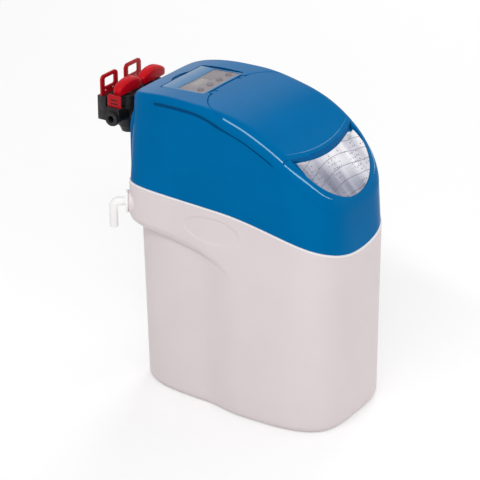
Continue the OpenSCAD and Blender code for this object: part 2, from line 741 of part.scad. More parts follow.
module cover_shell() skin(concat(
    [wall_ring(0, 0), wall_ring(0.3, 0), wall_ring(0.62, 0), wall_ring(0.86, 0),
     groove_ring(5, 0), groove_ring(4.2, groove_in), groove_ring(2.6, groove_in), groove_ring(1.8, 0),
     crest_ring(0), crest_ring(0.6), crest_ring(crest_start)],
    [for (k = [1 : deck_steps]) deck_ring(k / deck_steps)],
    [seat_ring(0, 0), seat_ring(seat_w, 0), seat_ring(seat_w, seat_t), under_ring(0, -1)],
    [for (k = [0 : under_steps]) under_ring(k / under_steps, 1)],
    [wall_ring(0.8, cover_wall), wall_ring(0.4, cover_wall), wall_ring(0, cover_wall)]), looped = true);

module top_cover() color(blue) difference() {
    union() {
        cover_shell();
        on_panel() translate([0, 0, -deck_bite])
            rounded_slab(panel_w + 2 * frame_w, panel_d + 2 * frame_w - 0.4, panel_t + frame_t, 4);
        translate([0.2 - pocket_half, hinge_y - barrel_r - 2, seat_z(hinge_y) - seat_t - 0.3])
            cube([2 * pocket_half - 0.4, 2 * barrel_r + 4, seat_t + lid_seat - cover_wall]);
    }
    translate([-pocket_half, hinge_y - barrel_r - 4, seat_z(hinge_y)])
        cube([2 * pocket_half, mouth_back_y - hinge_y + barrel_r + 4, 30]);
    on_panel() {
        translate([0, 0, 12])
            rounded_slab(panel_w + 2 * panel_gap, panel_d + 2 * panel_gap, 12 + panel_t + 0.1, 3);
        rounded_slab(panel_w - 2 * panel_ledge, panel_d - 2 * panel_ledge, 20, 3);
        intersection() {
            translate([0, panel_d / 2 + thumb_l - thumb_r, -thumb_in]) cylinder(r = thumb_r, h = 20);
            translate([-thumb_w, panel_d / 2, -thumb_in - 1]) cube([2 * thumb_w, 2 * thumb_l, 20]);
        }
    }
    translate([-slot_w / 2, back_reach - 20, seam_back_h - 5])
        cube([slot_w, 40, slot_top - seam_back_h + 5]);
}

// Arched plate on the back of the cover, around the bypass connections
plate_w = 156;
plate_t = 4.5;
plate_foot = seam_back_h + 1;
plate_top = top_h - 18;
plate_y = back_reach - reveal + 0.15;
module rear_plate() color(blue) translate([0, plate_y, 0]) rotate([90, 0, 180]) difference() {
    union() {
        linear_extrude(plate_t) plate_outline(0);
        translate([0, 0, plate_t]) linear_extrude(1.2) plate_outline(2);
    }
    translate([0, 0, -e]) linear_extrude(plate_t + 2) {
        for (s = [-1, 1]) translate([s * port_pitch / 2, port_h]) circle(d = port_d + 3);
        translate([0, drain_z]) circle(d = drain_d + 5);
    }
}

module plate_outline(inset) {
    r = plate_w / 2 - inset;
    rise = plate_top - plate_foot - inset;
    arch = 60;
    polygon(concat([[r, plate_foot + inset]],
        [for (k = [0 : 24]) let (t = 180 * k / 24)
            [r * cos(t), plate_foot + rise - arch + arch * sin(t)]],
        [[-r, plate_foot + inset]]));
}

// Lid over the salt opening
lid_mid = [0, -25];
lip_steps = 16;
lip_r = 6;
lip_depth = 7.4;
rim_depth = 8.3;
rim_draft = 1.6;
rim_w = 2.6;
rim_chamfer = 0.6;
side_q = [for (q = front_q) if (q > 0 && q <= tip_q) q];
lid_q = concat(
    [for (k = [len(side_q) - 1 : -1 : 0]) -side_q[k]],
    [for (q = around) if (q <= 180) q],
    [for (q = side_q) 180 + q]);
lid_tip = mouth(-tip_q, lid_gap);
function lip_y(x) = lid_tip[1] - lip_bow * (1 - pow(x / lid_tip[0], 2));
lid_edge = concat(
    [for (q = lid_q) mouth(q, lid_gap)],
    [for (k = [1 : lip_steps - 1])
        let (x = mix(-lid_tip[0], lid_tip[0], k / lip_steps)) [x, lip_y(x)]]);
lip_share = concat(
    [for (q = lid_q) 0],
    [for (k = [1 : lip_steps - 1]) 1 - pow(abs(2 * k / lip_steps - 1), 6)]);

function inward(p, d) = p + (lid_mid - p) * d / norm(lid_mid - p);
function toward(p, s) = lid_mid + (p - lid_mid) * s;
function lid_count() = len(lid_edge);
function lid_top(d, lower) = [for (i = [0 : lid_count() - 1])
    let (p = inward(lid_edge[i], d)) at(p, roof_z(p, 0) - lip_share[i] * round_off(d, lip_r) - lower)];
function lid_face(s, lower) = [for (p = lid_edge) let (c = toward(p, s)) at(c, roof_z(c, 0) - lower)];
function lid_rim(d, lift) = [for (i = [0 : lid_count() - 1])
    let (p = inward(lid_edge[i], d), depth = mix(rim_depth, lip_depth, lip_share[i]))
    at(p, roof_top(p[1]) - depth + lift)];

barrel_r = hinge_barrel_d / 2;
hinge_y = mouth_back_y - lid_gap - barrel_r;
hinge_z = roof_top(hinge_y) - barrel_r;
barrel_half = 45;
barrel_end = 1.2;
pocket_half = barrel_half + barrel_end;
lug_x = 33;
lug_w = 6;
lug_gap = 0.5;
heel_w = 18;
heel_gap = 2.1;

module salt_lid() color(blue) difference() {
    union() {
        difference() {
            skin([lid_face(0.3, lid_wall), lid_face(0.7, lid_wall), lid_top(rim_draft + 2 * rim_w, lid_wall),
                lid_rim(rim_draft + rim_w, 0), lid_rim(rim_draft + rim_chamfer, 0), lid_rim(rim_draft, 0.5),
                lid_top(0, 0.3), lid_top(0.5, 0), lid_top(2, 0), lid_top(5, 0), lid_top(9, 0),
                lid_top(14, 0), lid_face(0.72, 0), lid_face(0.36, 0)]);
            translate([-barrel_half, hinge_y, hinge_z - 20]) cube([2 * barrel_half, 20, 40]);
            for (s = [-1, 1])
                translate([s * (barrel_half + heel_w / 2), hinge_y - barrel_r - heel_gap + 10, hinge_z])
                    cube([heel_w, 20, 40], center = true);
        }
        translate([-barrel_half, hinge_y, hinge_z]) along_x() cylinder(r = barrel_r, h = 2 * barrel_half);
    }
    for (s = [-1, 1])
        translate([s * lug_x - lug_w / 2 - lug_gap, hinge_y - barrel_r - 0.8, hinge_z - 20])
            cube([lug_w + 2 * lug_gap, 20, 40]);
    translate([-barrel_half - 1, hinge_y, hinge_z]) along_x()
        cylinder(d = hinge_rod_d, h = 2 * barrel_half + 2);
}

module hinge_rod() color(steel) translate([-barrel_half, hinge_y, hinge_z]) along_x()
    cylinder(d = hinge_rod_d, h = 2 * barrel_half);

lug_r = 3;
rod_play = 0.06;
module hinge_lugs() color(deep_blue) for (s = [-1, 1]) translate([s * lug_x - lug_w / 2, hinge_y, hinge_z])
    difference() {
        union() {
            along_x() cylinder(r = lug_r, h = lug_w);
            translate([0, -lug_r, seat_z(hinge_y) - hinge_z])
                cube([lug_w, 2 * lug_r, hinge_z - seat_z(hinge_y)]);
        }
        translate([-e, 0, 0]) along_x() cylinder(d = hinge_rod_d + 2 * rod_play, h = lug_w + 2 * e);
    }

// Silver plate in the front of the opening, below the lid's lip
window_t = 2.6;
window_gap = 0.6;
window_lift = 0.4;
window_rings = [0.4, 0.7, 0.85, 1];
window_start = corner_steps - 2;
window_start_q = 180 + station(window_start);
window_back_y = lip_tip_y + 5;
window_head = 8;
window_flank = 5;
window_mid = [0, lip_tip_y - 28];
window_foot = mouth(window_start_q, window_gap);
window_edge = concat(
    [for (q = around) if (q > window_start_q - tip_space && q < 540 - window_start_q + tip_space)
        mouth(q, window_gap)],
    [for (k = [1 : window_flank - 1]) [-window_foot[0], mix(window_foot[1], window_back_y, k / window_flank)]],
    [for (k = [0 : window_head]) [-window_foot[0] * (1 - 2 * k / window_head), window_back_y]],
    [for (k = [window_flank - 1 : -1 : 1])
        [window_foot[0], mix(window_foot[1], window_back_y, k / window_flank)]]);
function window_face(s, drop) = [for (p = window_edge)
    let (c = window_mid + (p - window_mid) * s) at(c, seat_z(c[1]) + drop)];
module window_plate() color(silver)
    skin(concat([for (s = window_rings) window_face(s, window_lift)],
        [for (k = [len(window_rings) - 1 : -1 : 0]) window_face(window_rings[k], window_lift + window_t)]));

// Display in the deck behind the lid
overlay_t = 1;
overlay_y = -panel_d / 2 + 3 + overlay_d / 2;
overlay_sink = 0.4;
key_y = overlay_y - overlay_d / 2 + 12.5;
key_gap = 0.3;
key_rise = 0.5;
key_stem = 4;
key_hole_d = key_d + 2 * key_gap;
lcd_w = 36;
lcd_d = 17;
lcd_x = -10;
lcd_y = overlay_y + overlay_d / 2 - 13;
board_t = 1.6;
board_z = -panel_t - key_stem - key_travel - 0.4;
function key_x(i) = key_pitch * (i - 1.5);

module key_holes(d) for (i = [0 : 3]) translate([key_x(i), key_y, -20]) cylinder(d = d, h = 40);
module lcd_hole(gap) translate([lcd_x, lcd_y, 20]) rounded_slab(lcd_w + gap, lcd_d + gap, 40, 1);

module display_panel() color(blue) on_panel() difference() {
    union() {
        rounded_slab(panel_w, panel_d, panel_t, 2.5);
        for (s = [-1, 1]) translate([s * (panel_w / 2 - panel_ledge - 4), 0, -panel_t + e])
            rounded_slab(6, panel_d - 2 * panel_ledge - 2, -board_z - panel_t + e, 1);
    }
    translate([0, overlay_y, 20])
        rounded_slab(overlay_w + 0.4, overlay_d + 0.4, 20 + overlay_sink + overlay_t, 1.5);
    key_holes(key_hole_d + 0.6);
    lcd_hole(0.4);
}

module display_overlay() color(silver) on_panel() difference() {
    translate([0, overlay_y, -overlay_sink]) rounded_slab(overlay_w, overlay_d, overlay_t - e, 1.3);
    key_holes(key_hole_d);
    lcd_hole(0.2);
}

module lcd_lens() color("#8f9a94") on_panel() translate([lcd_x, lcd_y, -overlay_sink - 0.2])
    rounded_slab(lcd_w, lcd_d, -board_z - overlay_sink - 0.3, 0.9);

module control_board() color("#1f6b3a") on_panel() difference() {
    translate([0, 0, board_z])
        rounded_slab(panel_w - 2 * panel_ledge - 2, panel_d - 2 * panel_ledge - 2, board_t, 2);
    for (x = [-1, 1], y = [-1, 1])
        translate([x * (panel_w / 2 - panel_ledge - 4), y * (panel_d / 2 - panel_ledge - 5), board_z - 3])
            cylinder(d = 3, h = 6);
}

module key(i) color(silver) on_panel() translate([key_x(i), key_y, 0]) {
    translate([0, 0, -overlay_sink - overlay_t - 0.6]) cylinder(d = key_d, h = overlay_t + 0.6 + key_rise);
    translate([0, 0, board_z + key_travel + 0.2])
        cylinder(d = 5, h = -board_z - key_travel - overlay_sink - overlay_t);
}

// Bypass on the back: two rotor housings, rear sockets, cross tube and side port
pivot_y = back_reach + 40;
body_foot = port_h - 33;
housing_d = rotor_d + 9;
housing_top = port_h + 27;
socket_wall = 4.5;
socket_back_y = pivot_y + 46;
clip_y = socket_back_y - 9;
clip_block_w = 42;
clip_block_d = 16;
clip_block_foot = port_h - 17;
clip_block_top = port_h + 23;
leg_w = 5;
leg_x = socket_d / 2 + 1.5;
slot_gap = 0.35;
rotor_foot = port_h - 22;
stem_d = 12;
stem_top = port_h + 42;
side_x = -port_pitch / 2 - 44;
side_od = 25;
side_pass_d = side_bore_d - 2;
adapter_d = 19;
adapter_l = 20;
side_clip_x = side_x + 8;
spigot_d = port_bore_d - 0.4;
spigot_l = 14;
spigot_bore_d = 10;
seal_t = 1.8;
seal_y = port_back_y - 6;

module port_x() for (s = [-1, 1]) translate([s * port_pitch / 2, 0, 0]) children();
module clip_legs(gap, z0, z1) for (s = [-1, 1])
    translate([s > 0 ? leg_x - gap : -leg_x - leg_w - gap, -clip_t / 2 - gap, z0])
        cube([leg_w + 2 * gap, clip_t + 2 * gap, z1 - z0]);

module bypass_body() color(black) difference() {
    union() {
        port_x() {
            translate([0, pivot_y, rotor_foot]) cylinder(d = housing_d, h = housing_top - rotor_foot);
            translate([0, pivot_y, body_foot])
                cylinder(d1 = housing_d - 12, d2 = housing_d - 3, h = rotor_foot - body_foot);
            translate([0, port_back_y + 0.3, port_h]) along_y()
                cylinder(d = port_d, h = pivot_y - port_back_y);
            translate([0, back_reach + 7, port_h]) along_y() cylinder(d = port_d + 7, h = 4);
            translate([0, port_back_y + 0.3 - spigot_l, port_h]) along_y()
                cylinder(d = spigot_d, h = spigot_l + 2);
            translate([0, pivot_y, port_h]) along_y()
                cylinder(d = socket_d + 2 * socket_wall, h = socket_back_y - pivot_y);
            translate([-clip_block_w / 2, clip_y - clip_block_d / 2, clip_block_foot])
                cube([clip_block_w, clip_block_d, clip_block_top - clip_block_foot]);
            translate([0, pivot_y, port_h + 10]) cylinder(d = housing_d + 5, h = 4);
        }
        translate([side_x, pivot_y, port_h]) along_x() cylinder(d = side_od, h = port_pitch / 2 - side_x);
        translate([side_clip_x - 6, pivot_y - side_od / 2, port_h]) cube([12, side_od, side_od / 2 + 4]);
    }
    port_x() {
        translate([0, pivot_y, rotor_foot + 4]) cylinder(d = rotor_d + 2 * rotor_gap, h = housing_top);
        translate([0, port_back_y - spigot_l - 1, port_h]) along_y()
            cylinder(d = spigot_bore_d, h = pivot_y - port_back_y + spigot_l);
        translate([0, seal_y - seal_t / 2 - 0.1, port_h]) along_y()
            tube(spigot_d + 1, port_bore_d - 2 * seal_t - 0.4, seal_t + 0.2);
        translate([0, pivot_y, port_h]) along_y() cylinder(d = port_bore_d, h = socket_back_y - pivot_y);
        translate([0, socket_back_y - socket_depth, port_h]) along_y()
            cylinder(d = socket_d, h = socket_depth + 1);
        translate([0, clip_y, 0]) clip_legs(slot_gap, clip_block_foot + 3, clip_block_top + 1);
    }
    translate([side_x + 2, pivot_y, port_h]) along_x()
        cylinder(d = side_pass_d, h = port_pitch / 2 - side_x);
    translate([side_x - 1, pivot_y, port_h]) along_x() cylinder(d = adapter_d + 0.1, h = adapter_l + 1);
    translate([side_clip_x, pivot_y, 0]) side_legs(slot_gap, port_h - 6, port_h + side_od);
}

module port_seals() color("#101010") port_x() translate([0, seal_y, port_h]) along_y()
    rotate_extrude() translate([port_bore_d / 2 - seal_t / 2 - 0.05, 0]) circle(d = seal_t);

module rotor_caps() color(black) port_x() translate([0, pivot_y, housing_top + 0.1])
    tube(housing_d + 3, stem_d + 0.6, 5);

module rotor(s) color(grey) translate([s * port_pitch / 2, pivot_y, 0]) difference() {
    union() {
        translate([0, 0, rotor_foot + 4.3]) cylinder(d = rotor_d, h = housing_top - rotor_foot - 5);
        translate([0, 0, housing_top - 2]) cylinder(d = stem_d, h = stem_top - housing_top + 2);
    }
    translate([0, -rotor_d, port_h]) along_y() cylinder(d = port_bore_d - 5, h = 2 * rotor_d);
    translate([0, 0, stem_top - 12]) cylinder(d = 3, h = 13);
}

// Arched bar handle on a rotor stem
handle_foot = housing_top + 7;
handle_top = port_h + 56;
handle_arch = 48;
handle_round = 11;
dimple_d = 8;
module handle(s) color(red) translate([s * port_pitch / 2, pivot_y, 0]) difference() {
    intersection() {
        translate([0, 0, handle_foot]) linear_extrude(handle_top - handle_foot) {
            square([handle_l - handle_w, handle_w], center = true);
            for (x = [-1, 1]) translate([x * (handle_l - handle_w) / 2, 0]) circle(d = handle_w);
        }
        translate([0, handle_w, handle_top - handle_arch]) rotate([90, 0, 0])
            cylinder(r = handle_arch, h = 2 * handle_w, $fn = 128);
        union() {
            translate([-handle_l, 0, handle_top - handle_round]) along_x()
                cylinder(r = handle_round, h = 2 * handle_l);
            translate([-handle_l, -handle_w, handle_foot - 1])
                cube([2 * handle_l, 2 * handle_w, handle_top - handle_foot - handle_round + 1]);
        }
    }
    translate([0, 0, handle_foot - 1]) cylinder(d = stem_d, h = stem_top - handle_foot + 1);
    translate([0, 0, handle_top - 3]) cylinder(d = dimple_d, h = 5);
    translate([0, 0, stem_top - 1]) cylinder(d = 3.2, h = 20);
    for (x = [-1, 1]) translate([x * handle_l * 0.3, 0, handle_foot - e])
        translate([-6, -handle_w / 2 + 3, 0]) cube([12, handle_w - 6, 6]);
}

module handle_screw(s) color(steel) translate([s * port_pitch / 2, pivot_y, 0]) difference() {
    union() {
        translate([0, 0, handle_top - 3]) cylinder(d = dimple_d - 1.4, h = 2);
        translate([0, 0, stem_top - 11]) cylinder(d = 3, h = handle_top - 2 - stem_top + 11);
    }
    for (a = [0, 90]) rotate([0, 0, a]) translate([-2.2, -0.4, handle_top - 2]) cube([4.4, 0.8, 2]);
}

// Finger-loop clip that locks a pipe in a rear socket
loop_w = 44;
loop_foot = clip_block_top + 0.3;
loop_top = port_h + 57;
loop_window_w = 26;
loop_window_h = 15;
loop_bar = 6;
module loop_clip(s) color(dark_red) translate([s * port_pitch / 2, clip_y, 0]) {
    translate([0, -clip_t / 2, 0]) rotate([90, 0, 180]) linear_extrude(clip_t) difference() {
        union() {
            translate([-loop_w / 2, loop_foot]) square([loop_w, loop_top - loop_foot - 8]);
            translate([-loop_w / 2 + 8, loop_foot]) square([loop_w - 16, loop_top - loop_foot]);
            for (x = [-1, 1]) translate([x * (loop_w / 2 - 8), loop_top - 8]) circle(r = 8);
        }
        translate([0, loop_top - loop_bar - loop_window_h / 2]) {
            square([loop_window_w, loop_window_h - 6], center = true);
            square([loop_window_w - 6, loop_window_h], center = true);
            for (x = [-1, 1], z = [-1, 1])
                translate([x * (loop_window_w / 2 - 3), z * (loop_window_h / 2 - 3)]) circle(r = 3);
        }
        for (x = [-1, 1]) translate([x * loop_w * 0.22, loop_foot + 6.5]) circle(d = 5);
    }
    clip_legs(0, clip_block_foot + 3.5, loop_foot + e);
}

// Side port sleeve and its short slotted clip
module side_adapter() color(black) difference() {
    translate([side_x, pivot_y, port_h]) along_x() {
        translate([0, 0, -1]) cylinder(d = adapter_d, h = adapter_l + 0.8);
        translate([0, 0, -3]) cylinder(d = side_od - 2, h = 2.9);
    }
    translate([side_x - 4, pivot_y, port_h]) along_x() cylinder(d = side_bore_d, h = adapter_l + 5);
    translate([side_clip_x, pivot_y, 0]) side_legs(slot_gap, port_h - 6, port_h + side_od);
}

side_leg_y = adapter_d / 2 - 2.2;
side_leg_w = 4;
module side_legs(gap, z0, z1) for (s = [-1, 1])
    translate([-clip_t / 2 - gap, s > 0 ? side_leg_y - gap : -side_leg_y - side_leg_w - gap, z0])
        cube([clip_t + 2 * gap, side_leg_w + 2 * gap, z1 - z0]);

side_clip_foot = port_h + side_od / 2 + 4.3;
side_clip_h = 20;
side_clip_w = 26;
module side_clip() color(dark_red) translate([side_clip_x, pivot_y, 0]) {
    translate([-clip_t / 2, 0, 0]) rotate([90, 0, 90]) linear_extrude(clip_t) difference() {
        union() {
            translate([-side_clip_w / 2, side_clip_foot]) square([side_clip_w, side_clip_h - 4]);
            translate([-side_clip_w / 2 + 4, side_clip_foot]) square([side_clip_w - 8, side_clip_h]);
            for (x = [-1, 1]) translate([x * (side_clip_w / 2 - 4), side_clip_foot + side_clip_h - 4])
                circle(r = 4);
        }
        for (k = [0 : 1]) translate([-7, side_clip_foot + 4 + 6 * k]) square([14, 2.5]);
    }
    side_legs(0, port_h - 5, side_clip_foot + e);
}

brine_tank();
overflow_gasket();
overflow_elbow();
overflow_nut();
resin_vessel();
riser_tube();
lower_strainer();
valve_body();
valve_end_cap();
piston();
drive_gear();
drive_motor();
motor_bracket();
injector_cap();
drain_barb();
brine_fitting();
brine_tube();
brine_well();
brine_well_cap();
brine_pickup();
brine_float();
air_check();
top_cover();
rear_plate();
window_plate();
salt_lid();
hinge_rod();
hinge_lugs();
display_panel();
display_overlay();
lcd_lens();
control_board();
key(0);  // key_1
key(1);  // key_2
key(2);  // key_3
key(3);  // key_4
bypass_body();
port_seals();
rotor_caps();
rotor(-1);  // inlet_rotor
handle(-1);  // inlet_handle
handle_screw(-1);  // inlet_screw
rotor(1);  // outlet_rotor
handle(1);  // outlet_handle
handle_screw(1);  // outlet_screw
loop_clip(-1);  // inlet_clip
loop_clip(1);  // outlet_clip
side_adapter();
side_clip();
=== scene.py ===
import json
import math

import bmesh
import bpy
import numpy as np
from mathutils import Matrix, Vector
from mathutils.kdtree import KDTree


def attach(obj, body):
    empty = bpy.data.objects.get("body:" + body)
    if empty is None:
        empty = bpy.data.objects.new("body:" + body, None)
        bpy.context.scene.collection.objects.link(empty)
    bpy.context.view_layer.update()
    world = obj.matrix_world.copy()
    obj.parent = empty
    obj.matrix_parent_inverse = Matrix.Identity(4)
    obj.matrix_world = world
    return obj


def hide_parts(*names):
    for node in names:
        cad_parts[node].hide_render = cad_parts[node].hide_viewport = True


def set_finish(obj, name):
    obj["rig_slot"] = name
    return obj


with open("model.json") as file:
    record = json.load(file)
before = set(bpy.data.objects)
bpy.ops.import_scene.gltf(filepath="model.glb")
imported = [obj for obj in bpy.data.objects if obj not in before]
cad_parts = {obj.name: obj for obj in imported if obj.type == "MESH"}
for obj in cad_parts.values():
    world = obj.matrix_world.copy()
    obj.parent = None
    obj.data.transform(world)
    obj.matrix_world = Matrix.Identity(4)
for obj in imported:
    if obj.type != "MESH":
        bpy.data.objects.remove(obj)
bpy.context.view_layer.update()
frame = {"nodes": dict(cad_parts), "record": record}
nodes = frame["nodes"]
record = frame["record"]
BODY = {node: body for body, members in record["behaviour"]["bodies"].items() for node in members}
SLOT = {part["node"]: part["material_slot"] for part in record["subparts"]}

# Units: lengths are millimetres here, and MM turns them into the frame's metres.
# Endings of names: _H height, _L length, _W width, _T thickness, _D depth or diameter, _R radius,
# _N exponent of a rounded outline.
# Directions q are angles about Z, counted from +X, so the front lies at 270 degrees.
# A cutting solid reaches CUT past what it cuts.
MM = 0.001
FRONT_ANGLE = 270.0
CUT = 20.0

# Cabinet
HALF_W = 115.0
FRONT_REACH = 186.0
BACK_REACH = 189.5
BELT_FRONT_N = 4.0
BELT_REAR_N = 8.0
SEAM_BACK_H = 353.8
SEAM_SLOPE = 0.042
SEAM_FALL = 37.2
SEAM_BEND_Y = 5.1
SEAM_POWER = 1.88
SEAM_DIP = 11.2
SEAM_DIP_HALF = 91.0
TANK_WALL = 4.0
TANK_FLOOR = 5.0
FOOT_R = 8.0
FOOT_H = 12.8
LOBE_HALF_W = 105.0
LOBE_N = 4.0
LOBE_DRAFT = 9.0
REVEAL = 1.5
WAIST_Y = 2.0
WAIST_L = 76.0
WAIST_RISE = 10.0
BELT_H = 284.0
BELT_BEND_Y = 150.0
BELT_FADE_Y = -14.0
BELT_FADE_DROP = 32.0
BELT_DROP_MAX = 43.0
BELT_UNDER = -6.0
BELT_OVER = 14.0
HIGH_H = 190.0
WALL_TOP = -2.1
TANK_RIM_FOOT = -2.0
TANK_RIM_H = 1.2
TANK_RIM_W = 0.8
TANK_RIM_ANGLES = (0.0, 0.4, 0.8, 1.2, 1.57)
TANK_LINE_Z = -0.7
TANK_LINE_H = 1.0
LEDGE_W = 6.2
TANK_LIP_T = 2.6
TANK_LIP_H = 8.0
TANK_LIP_DRAFT = 0.2
TANK_LIP_FOOT = -6.0
INNER_BELT = ((16.0, 1.0), (2.0, 0.5), (-8.0, 0.0))
FOOT_RINGS = 9
LOW_RINGS = 26
HIGH_RINGS = 16
BELT_RINGS = 13
BELT_CROWD = 1.5
BELT_SWELL = 0.7
SIDE_RINGS = 45
INNER_RINGS = 8
INNER_FOOT_H = FOOT_R * 1.5
INNER_FOOT_STEP = FOOT_R * 0.3
OVAL_Y = 16.0
OVAL_Z = 313.0
OVAL_HALF_L = 50.0
OVAL_HALF_H = 21.0
OVAL_DEPTH = 1.2
OVAL_EDGE = 1.8

# Cover
COVER_WALL = 3.0
CREST_HALF_W = 109.0
CREST_FRONT = 181.0
CREST_BACK = 187.5
CREST_FRONT_N = 4.0
CREST_TAPER = 0.0005
CREST_WIDEST_Y = -60.0
TOP_H = 508.0
RIM_DROP = 129.0
PEAK_Y = 95.0
REAR_DROP = 12.5
ROOF_POWER = 2.75
SIDE_FILLET = 20.0
DECK_FILLET = 10.0
FILLET_TURN_Y = -20.0
FILLET_TURN_L = 80.0
SEAM_GAP = 0.2
GROOVE_IN = 2.4
GROOVE_FRONT_Y = -96.0
GROOVE_BACK_Y = 138.0
GROOVE_FADE = 14.0
GROOVE_TURN_Y = -20.0
GROOVE_TURN_L = 40.0
GROOVE_FRONT_W = 3.6
GROOVE_BACK_W = 8.0
GROOVE_TOP = 1.2
GROOVE_TOP_EDGE = 0.8
GROOVE_FRONT_EDGE = 1.0
GROOVE_BACK_EDGE = 3.0
GROOVE_BAND = 9.0
GROOVE_LEVELS = np.linspace(GROOVE_BAND, 0.0, 25)
GROOVE_DEEP = 0.3
GROOVE_NEAR = 0.4
CREST_START = 2.4
STREAK_START = 1.0
STREAK_L = 62.0
STREAK_W = 1.15
STREAK_THIN = 0.4
STREAK_IN_FROM = 4.0
STREAK_IN_TO = 7.5
STREAK_DEEP = 1.0
STREAK_SHIFT = 1.4
STREAK_GROW = 2.0
STREAK_END_N = 4
STREAK_UPWARD = 0.1
EDGE_R = 0.8
AROUND = 640
DENSE = 20001
EDGE_RINGS = 5
WALL_RINGS = 30
CREST_RINGS = 9
DECK_RINGS = 31
UNDER_RINGS = 9
UNDER_HIGH = 0.985
UNDER_FALL = 0.05
INNER_LEVELS = (0.8, 0.6, 0.4, 0.2, 0.0)

# Opening under the lid
MOUTH_EDGE = 3.5
MOUTH_IN = 2.0
MOUTH_TURN_Y = 2.0
MOUTH_BACK_Y = 67.0
MOUTH_N = 2.2
MOUTH_BLEND = 0.2
LID_TIP_Y = -108.0
WINDOW_HALF_W = 89.0
WINDOW_REACH = CREST_FRONT + LID_TIP_Y - 5.0
WINDOW_N = 2.3
WINDOW_SPAN = 85.0
WINDOW_FROM = 227.0
LID_SEAT = 8.6
WINDOW_SEAT = 11.0
SEAT_TURN = 18.0
TURN_L = 5.0
TURN_MORE = 3.0
TURN_AHEAD = 8.0
TURN_SPREAD = 9.0
WEB_SHARE = 0.6
WEB_GAP = 0.5
SEAT_W = 7.0
SEAT_T = 2.5
SEAT_BACK = 2.5

# Lid
LID_GAP = 0.45
HINGE_GAP = 0.8
LID_WALL = 3.0
LID_MID = np.array([0.0, -25.0])
LIP_BOW = 17.0
FACET_IN = 1.3
LIP_FOLD = 8.2
LIP_DROP = 6.2
LIP_STRAIGHT = 0.65
LIP_CURVED = 0.35
LIP_CREASE = 0.6
LIP_TAPER = 3.5
LIP_SHADE = 4.0
LIP_LINE = 0.6
LIP_SHARE_MIN = 0.02
CREASE_SHARE_MIN = 0.2
LID_UPWARD = 0.05
LIP_DEPTH = 7.4
RIM_DEPTH = 8.3
RIM_DRAFT = 1.6
RIM_W = 2.6
RIM_FLAT = 0.6
RIM_LIFT = 0.5
FACET_EDGE = 0.15
FACET_DROP = 0.3
FACET_FROM = 0.1
LID_BAND = 17.0
LID_STEPS = (1.6, 2.2, 3.2, 4.4, 5.6, 6.7, 7.4, 8.0, 8.6, 9.4, 10.4, 12.0, 14.0, LID_BAND)
LID_SHRINK = (0.9, 0.78, 0.66, 0.54, 0.42, 0.3, 0.18, 0.08)
LID_DENSE = 3001
LID_SIDE_POINTS = 300
LIP_POINTS = 120
BARREL_R = 3.5
BARREL_CHAMFER = 0.6
BARREL_SIDES = 48
BARREL_HALF = 45.0
HINGE_Y = MOUTH_BACK_Y - HINGE_GAP - BARREL_R
HEEL_W = 18.0
HEEL_GAP = 2.1
LUG_X = 33.0
LUG_SLOT = 7.0
LUG_CLEAR = 0.8
POCKET_HALF = 46.2
POCKET_CLEAR = 4.0
POCKET_H = 30.0

# Window plate
WINDOW_GAP = 0.5
WINDOW_LIFT = 0.4
WINDOW_SINK = 8.0
WINDOW_EDGE = 1.6
WINDOW_BACK_Y = -103.0
WINDOW_MID = np.array([0.0, -136.0])
WINDOW_START = 233.7
FILM_T = 0.25
FILM_MARGIN = 0.6
FILM_UNDER = 0.5
FILM_ROUND = 14.0
FILM_LIFT = 0.02
FILM_FOOT = 0.05
FILM_EDGE = 0.06
FILM_EDGE_IN = 0.0015
FILM_SHARES = np.linspace(0.3, 1.0, 701)
WINDOW_SHOWN = 3.0
WINDOW_SHOWN_L = 4.0
WINDOW_FLAT = 0.62
WINDOW_ARC_POINTS = 161
WINDOW_FLANK_POINTS = 14
WINDOW_BACK_POINTS = 41
WINDOW_STEPS = np.array((0.1, 0.25, 0.4, 0.52, 0.62, 0.7, 0.77, 0.83, 0.88, 0.92, 0.95, 0.975, 0.99, 1.0))

# Display
PANEL_W = 111.0
PANEL_D = 78.0
PANEL_FRONT_Y = MOUTH_BACK_Y + 2.4
PANEL_Y = PANEL_FRONT_Y + PANEL_D / 2
PANEL_SINK = 0.5
PANEL_TILT = 2.5
PANEL_T = 3.0
PANEL_LEDGE = 5.0
PANEL_GAP = 2.2
PANEL_FRONT_GAP = 0.4
PANEL_FIT = 0.3
PANEL_UNDER = 0.1
PANEL_CORNER = 3.2
GUTTER = 1.3
GUTTER_SIDES = ((0.0, 0.0, -GUTTER), (0.0, 0.0, -0.9), (0.6, 0.4, 0.4), (1.2, 0.8, 12.0))
FRAME_W = 2.5
FRAME_T = 3.0
FRAME_MORE = 2.0
FRAME_TOP = -0.4
FRAME_CORNER = 4.0
OPENING_CORNER = 3.0
RECESS_AROUND = 4.0
RECESS_FROM = 0.5
RECESS_UNDER = 1.0
THUMB_W = 56.0
THUMB_L = 10.5
THUMB_IN = 2.6
THUMB_POINTS = 25
KEY_X = (-39.0, -13.0, 13.0, 39.0)
KEY_Y = -23.5
RING_R = 4.0
RING_HALF_W = 0.35
RING_Z = 0.5
RING_HALF_H = 0.12
RING_SIDES = 10
RING_STEPS = 48

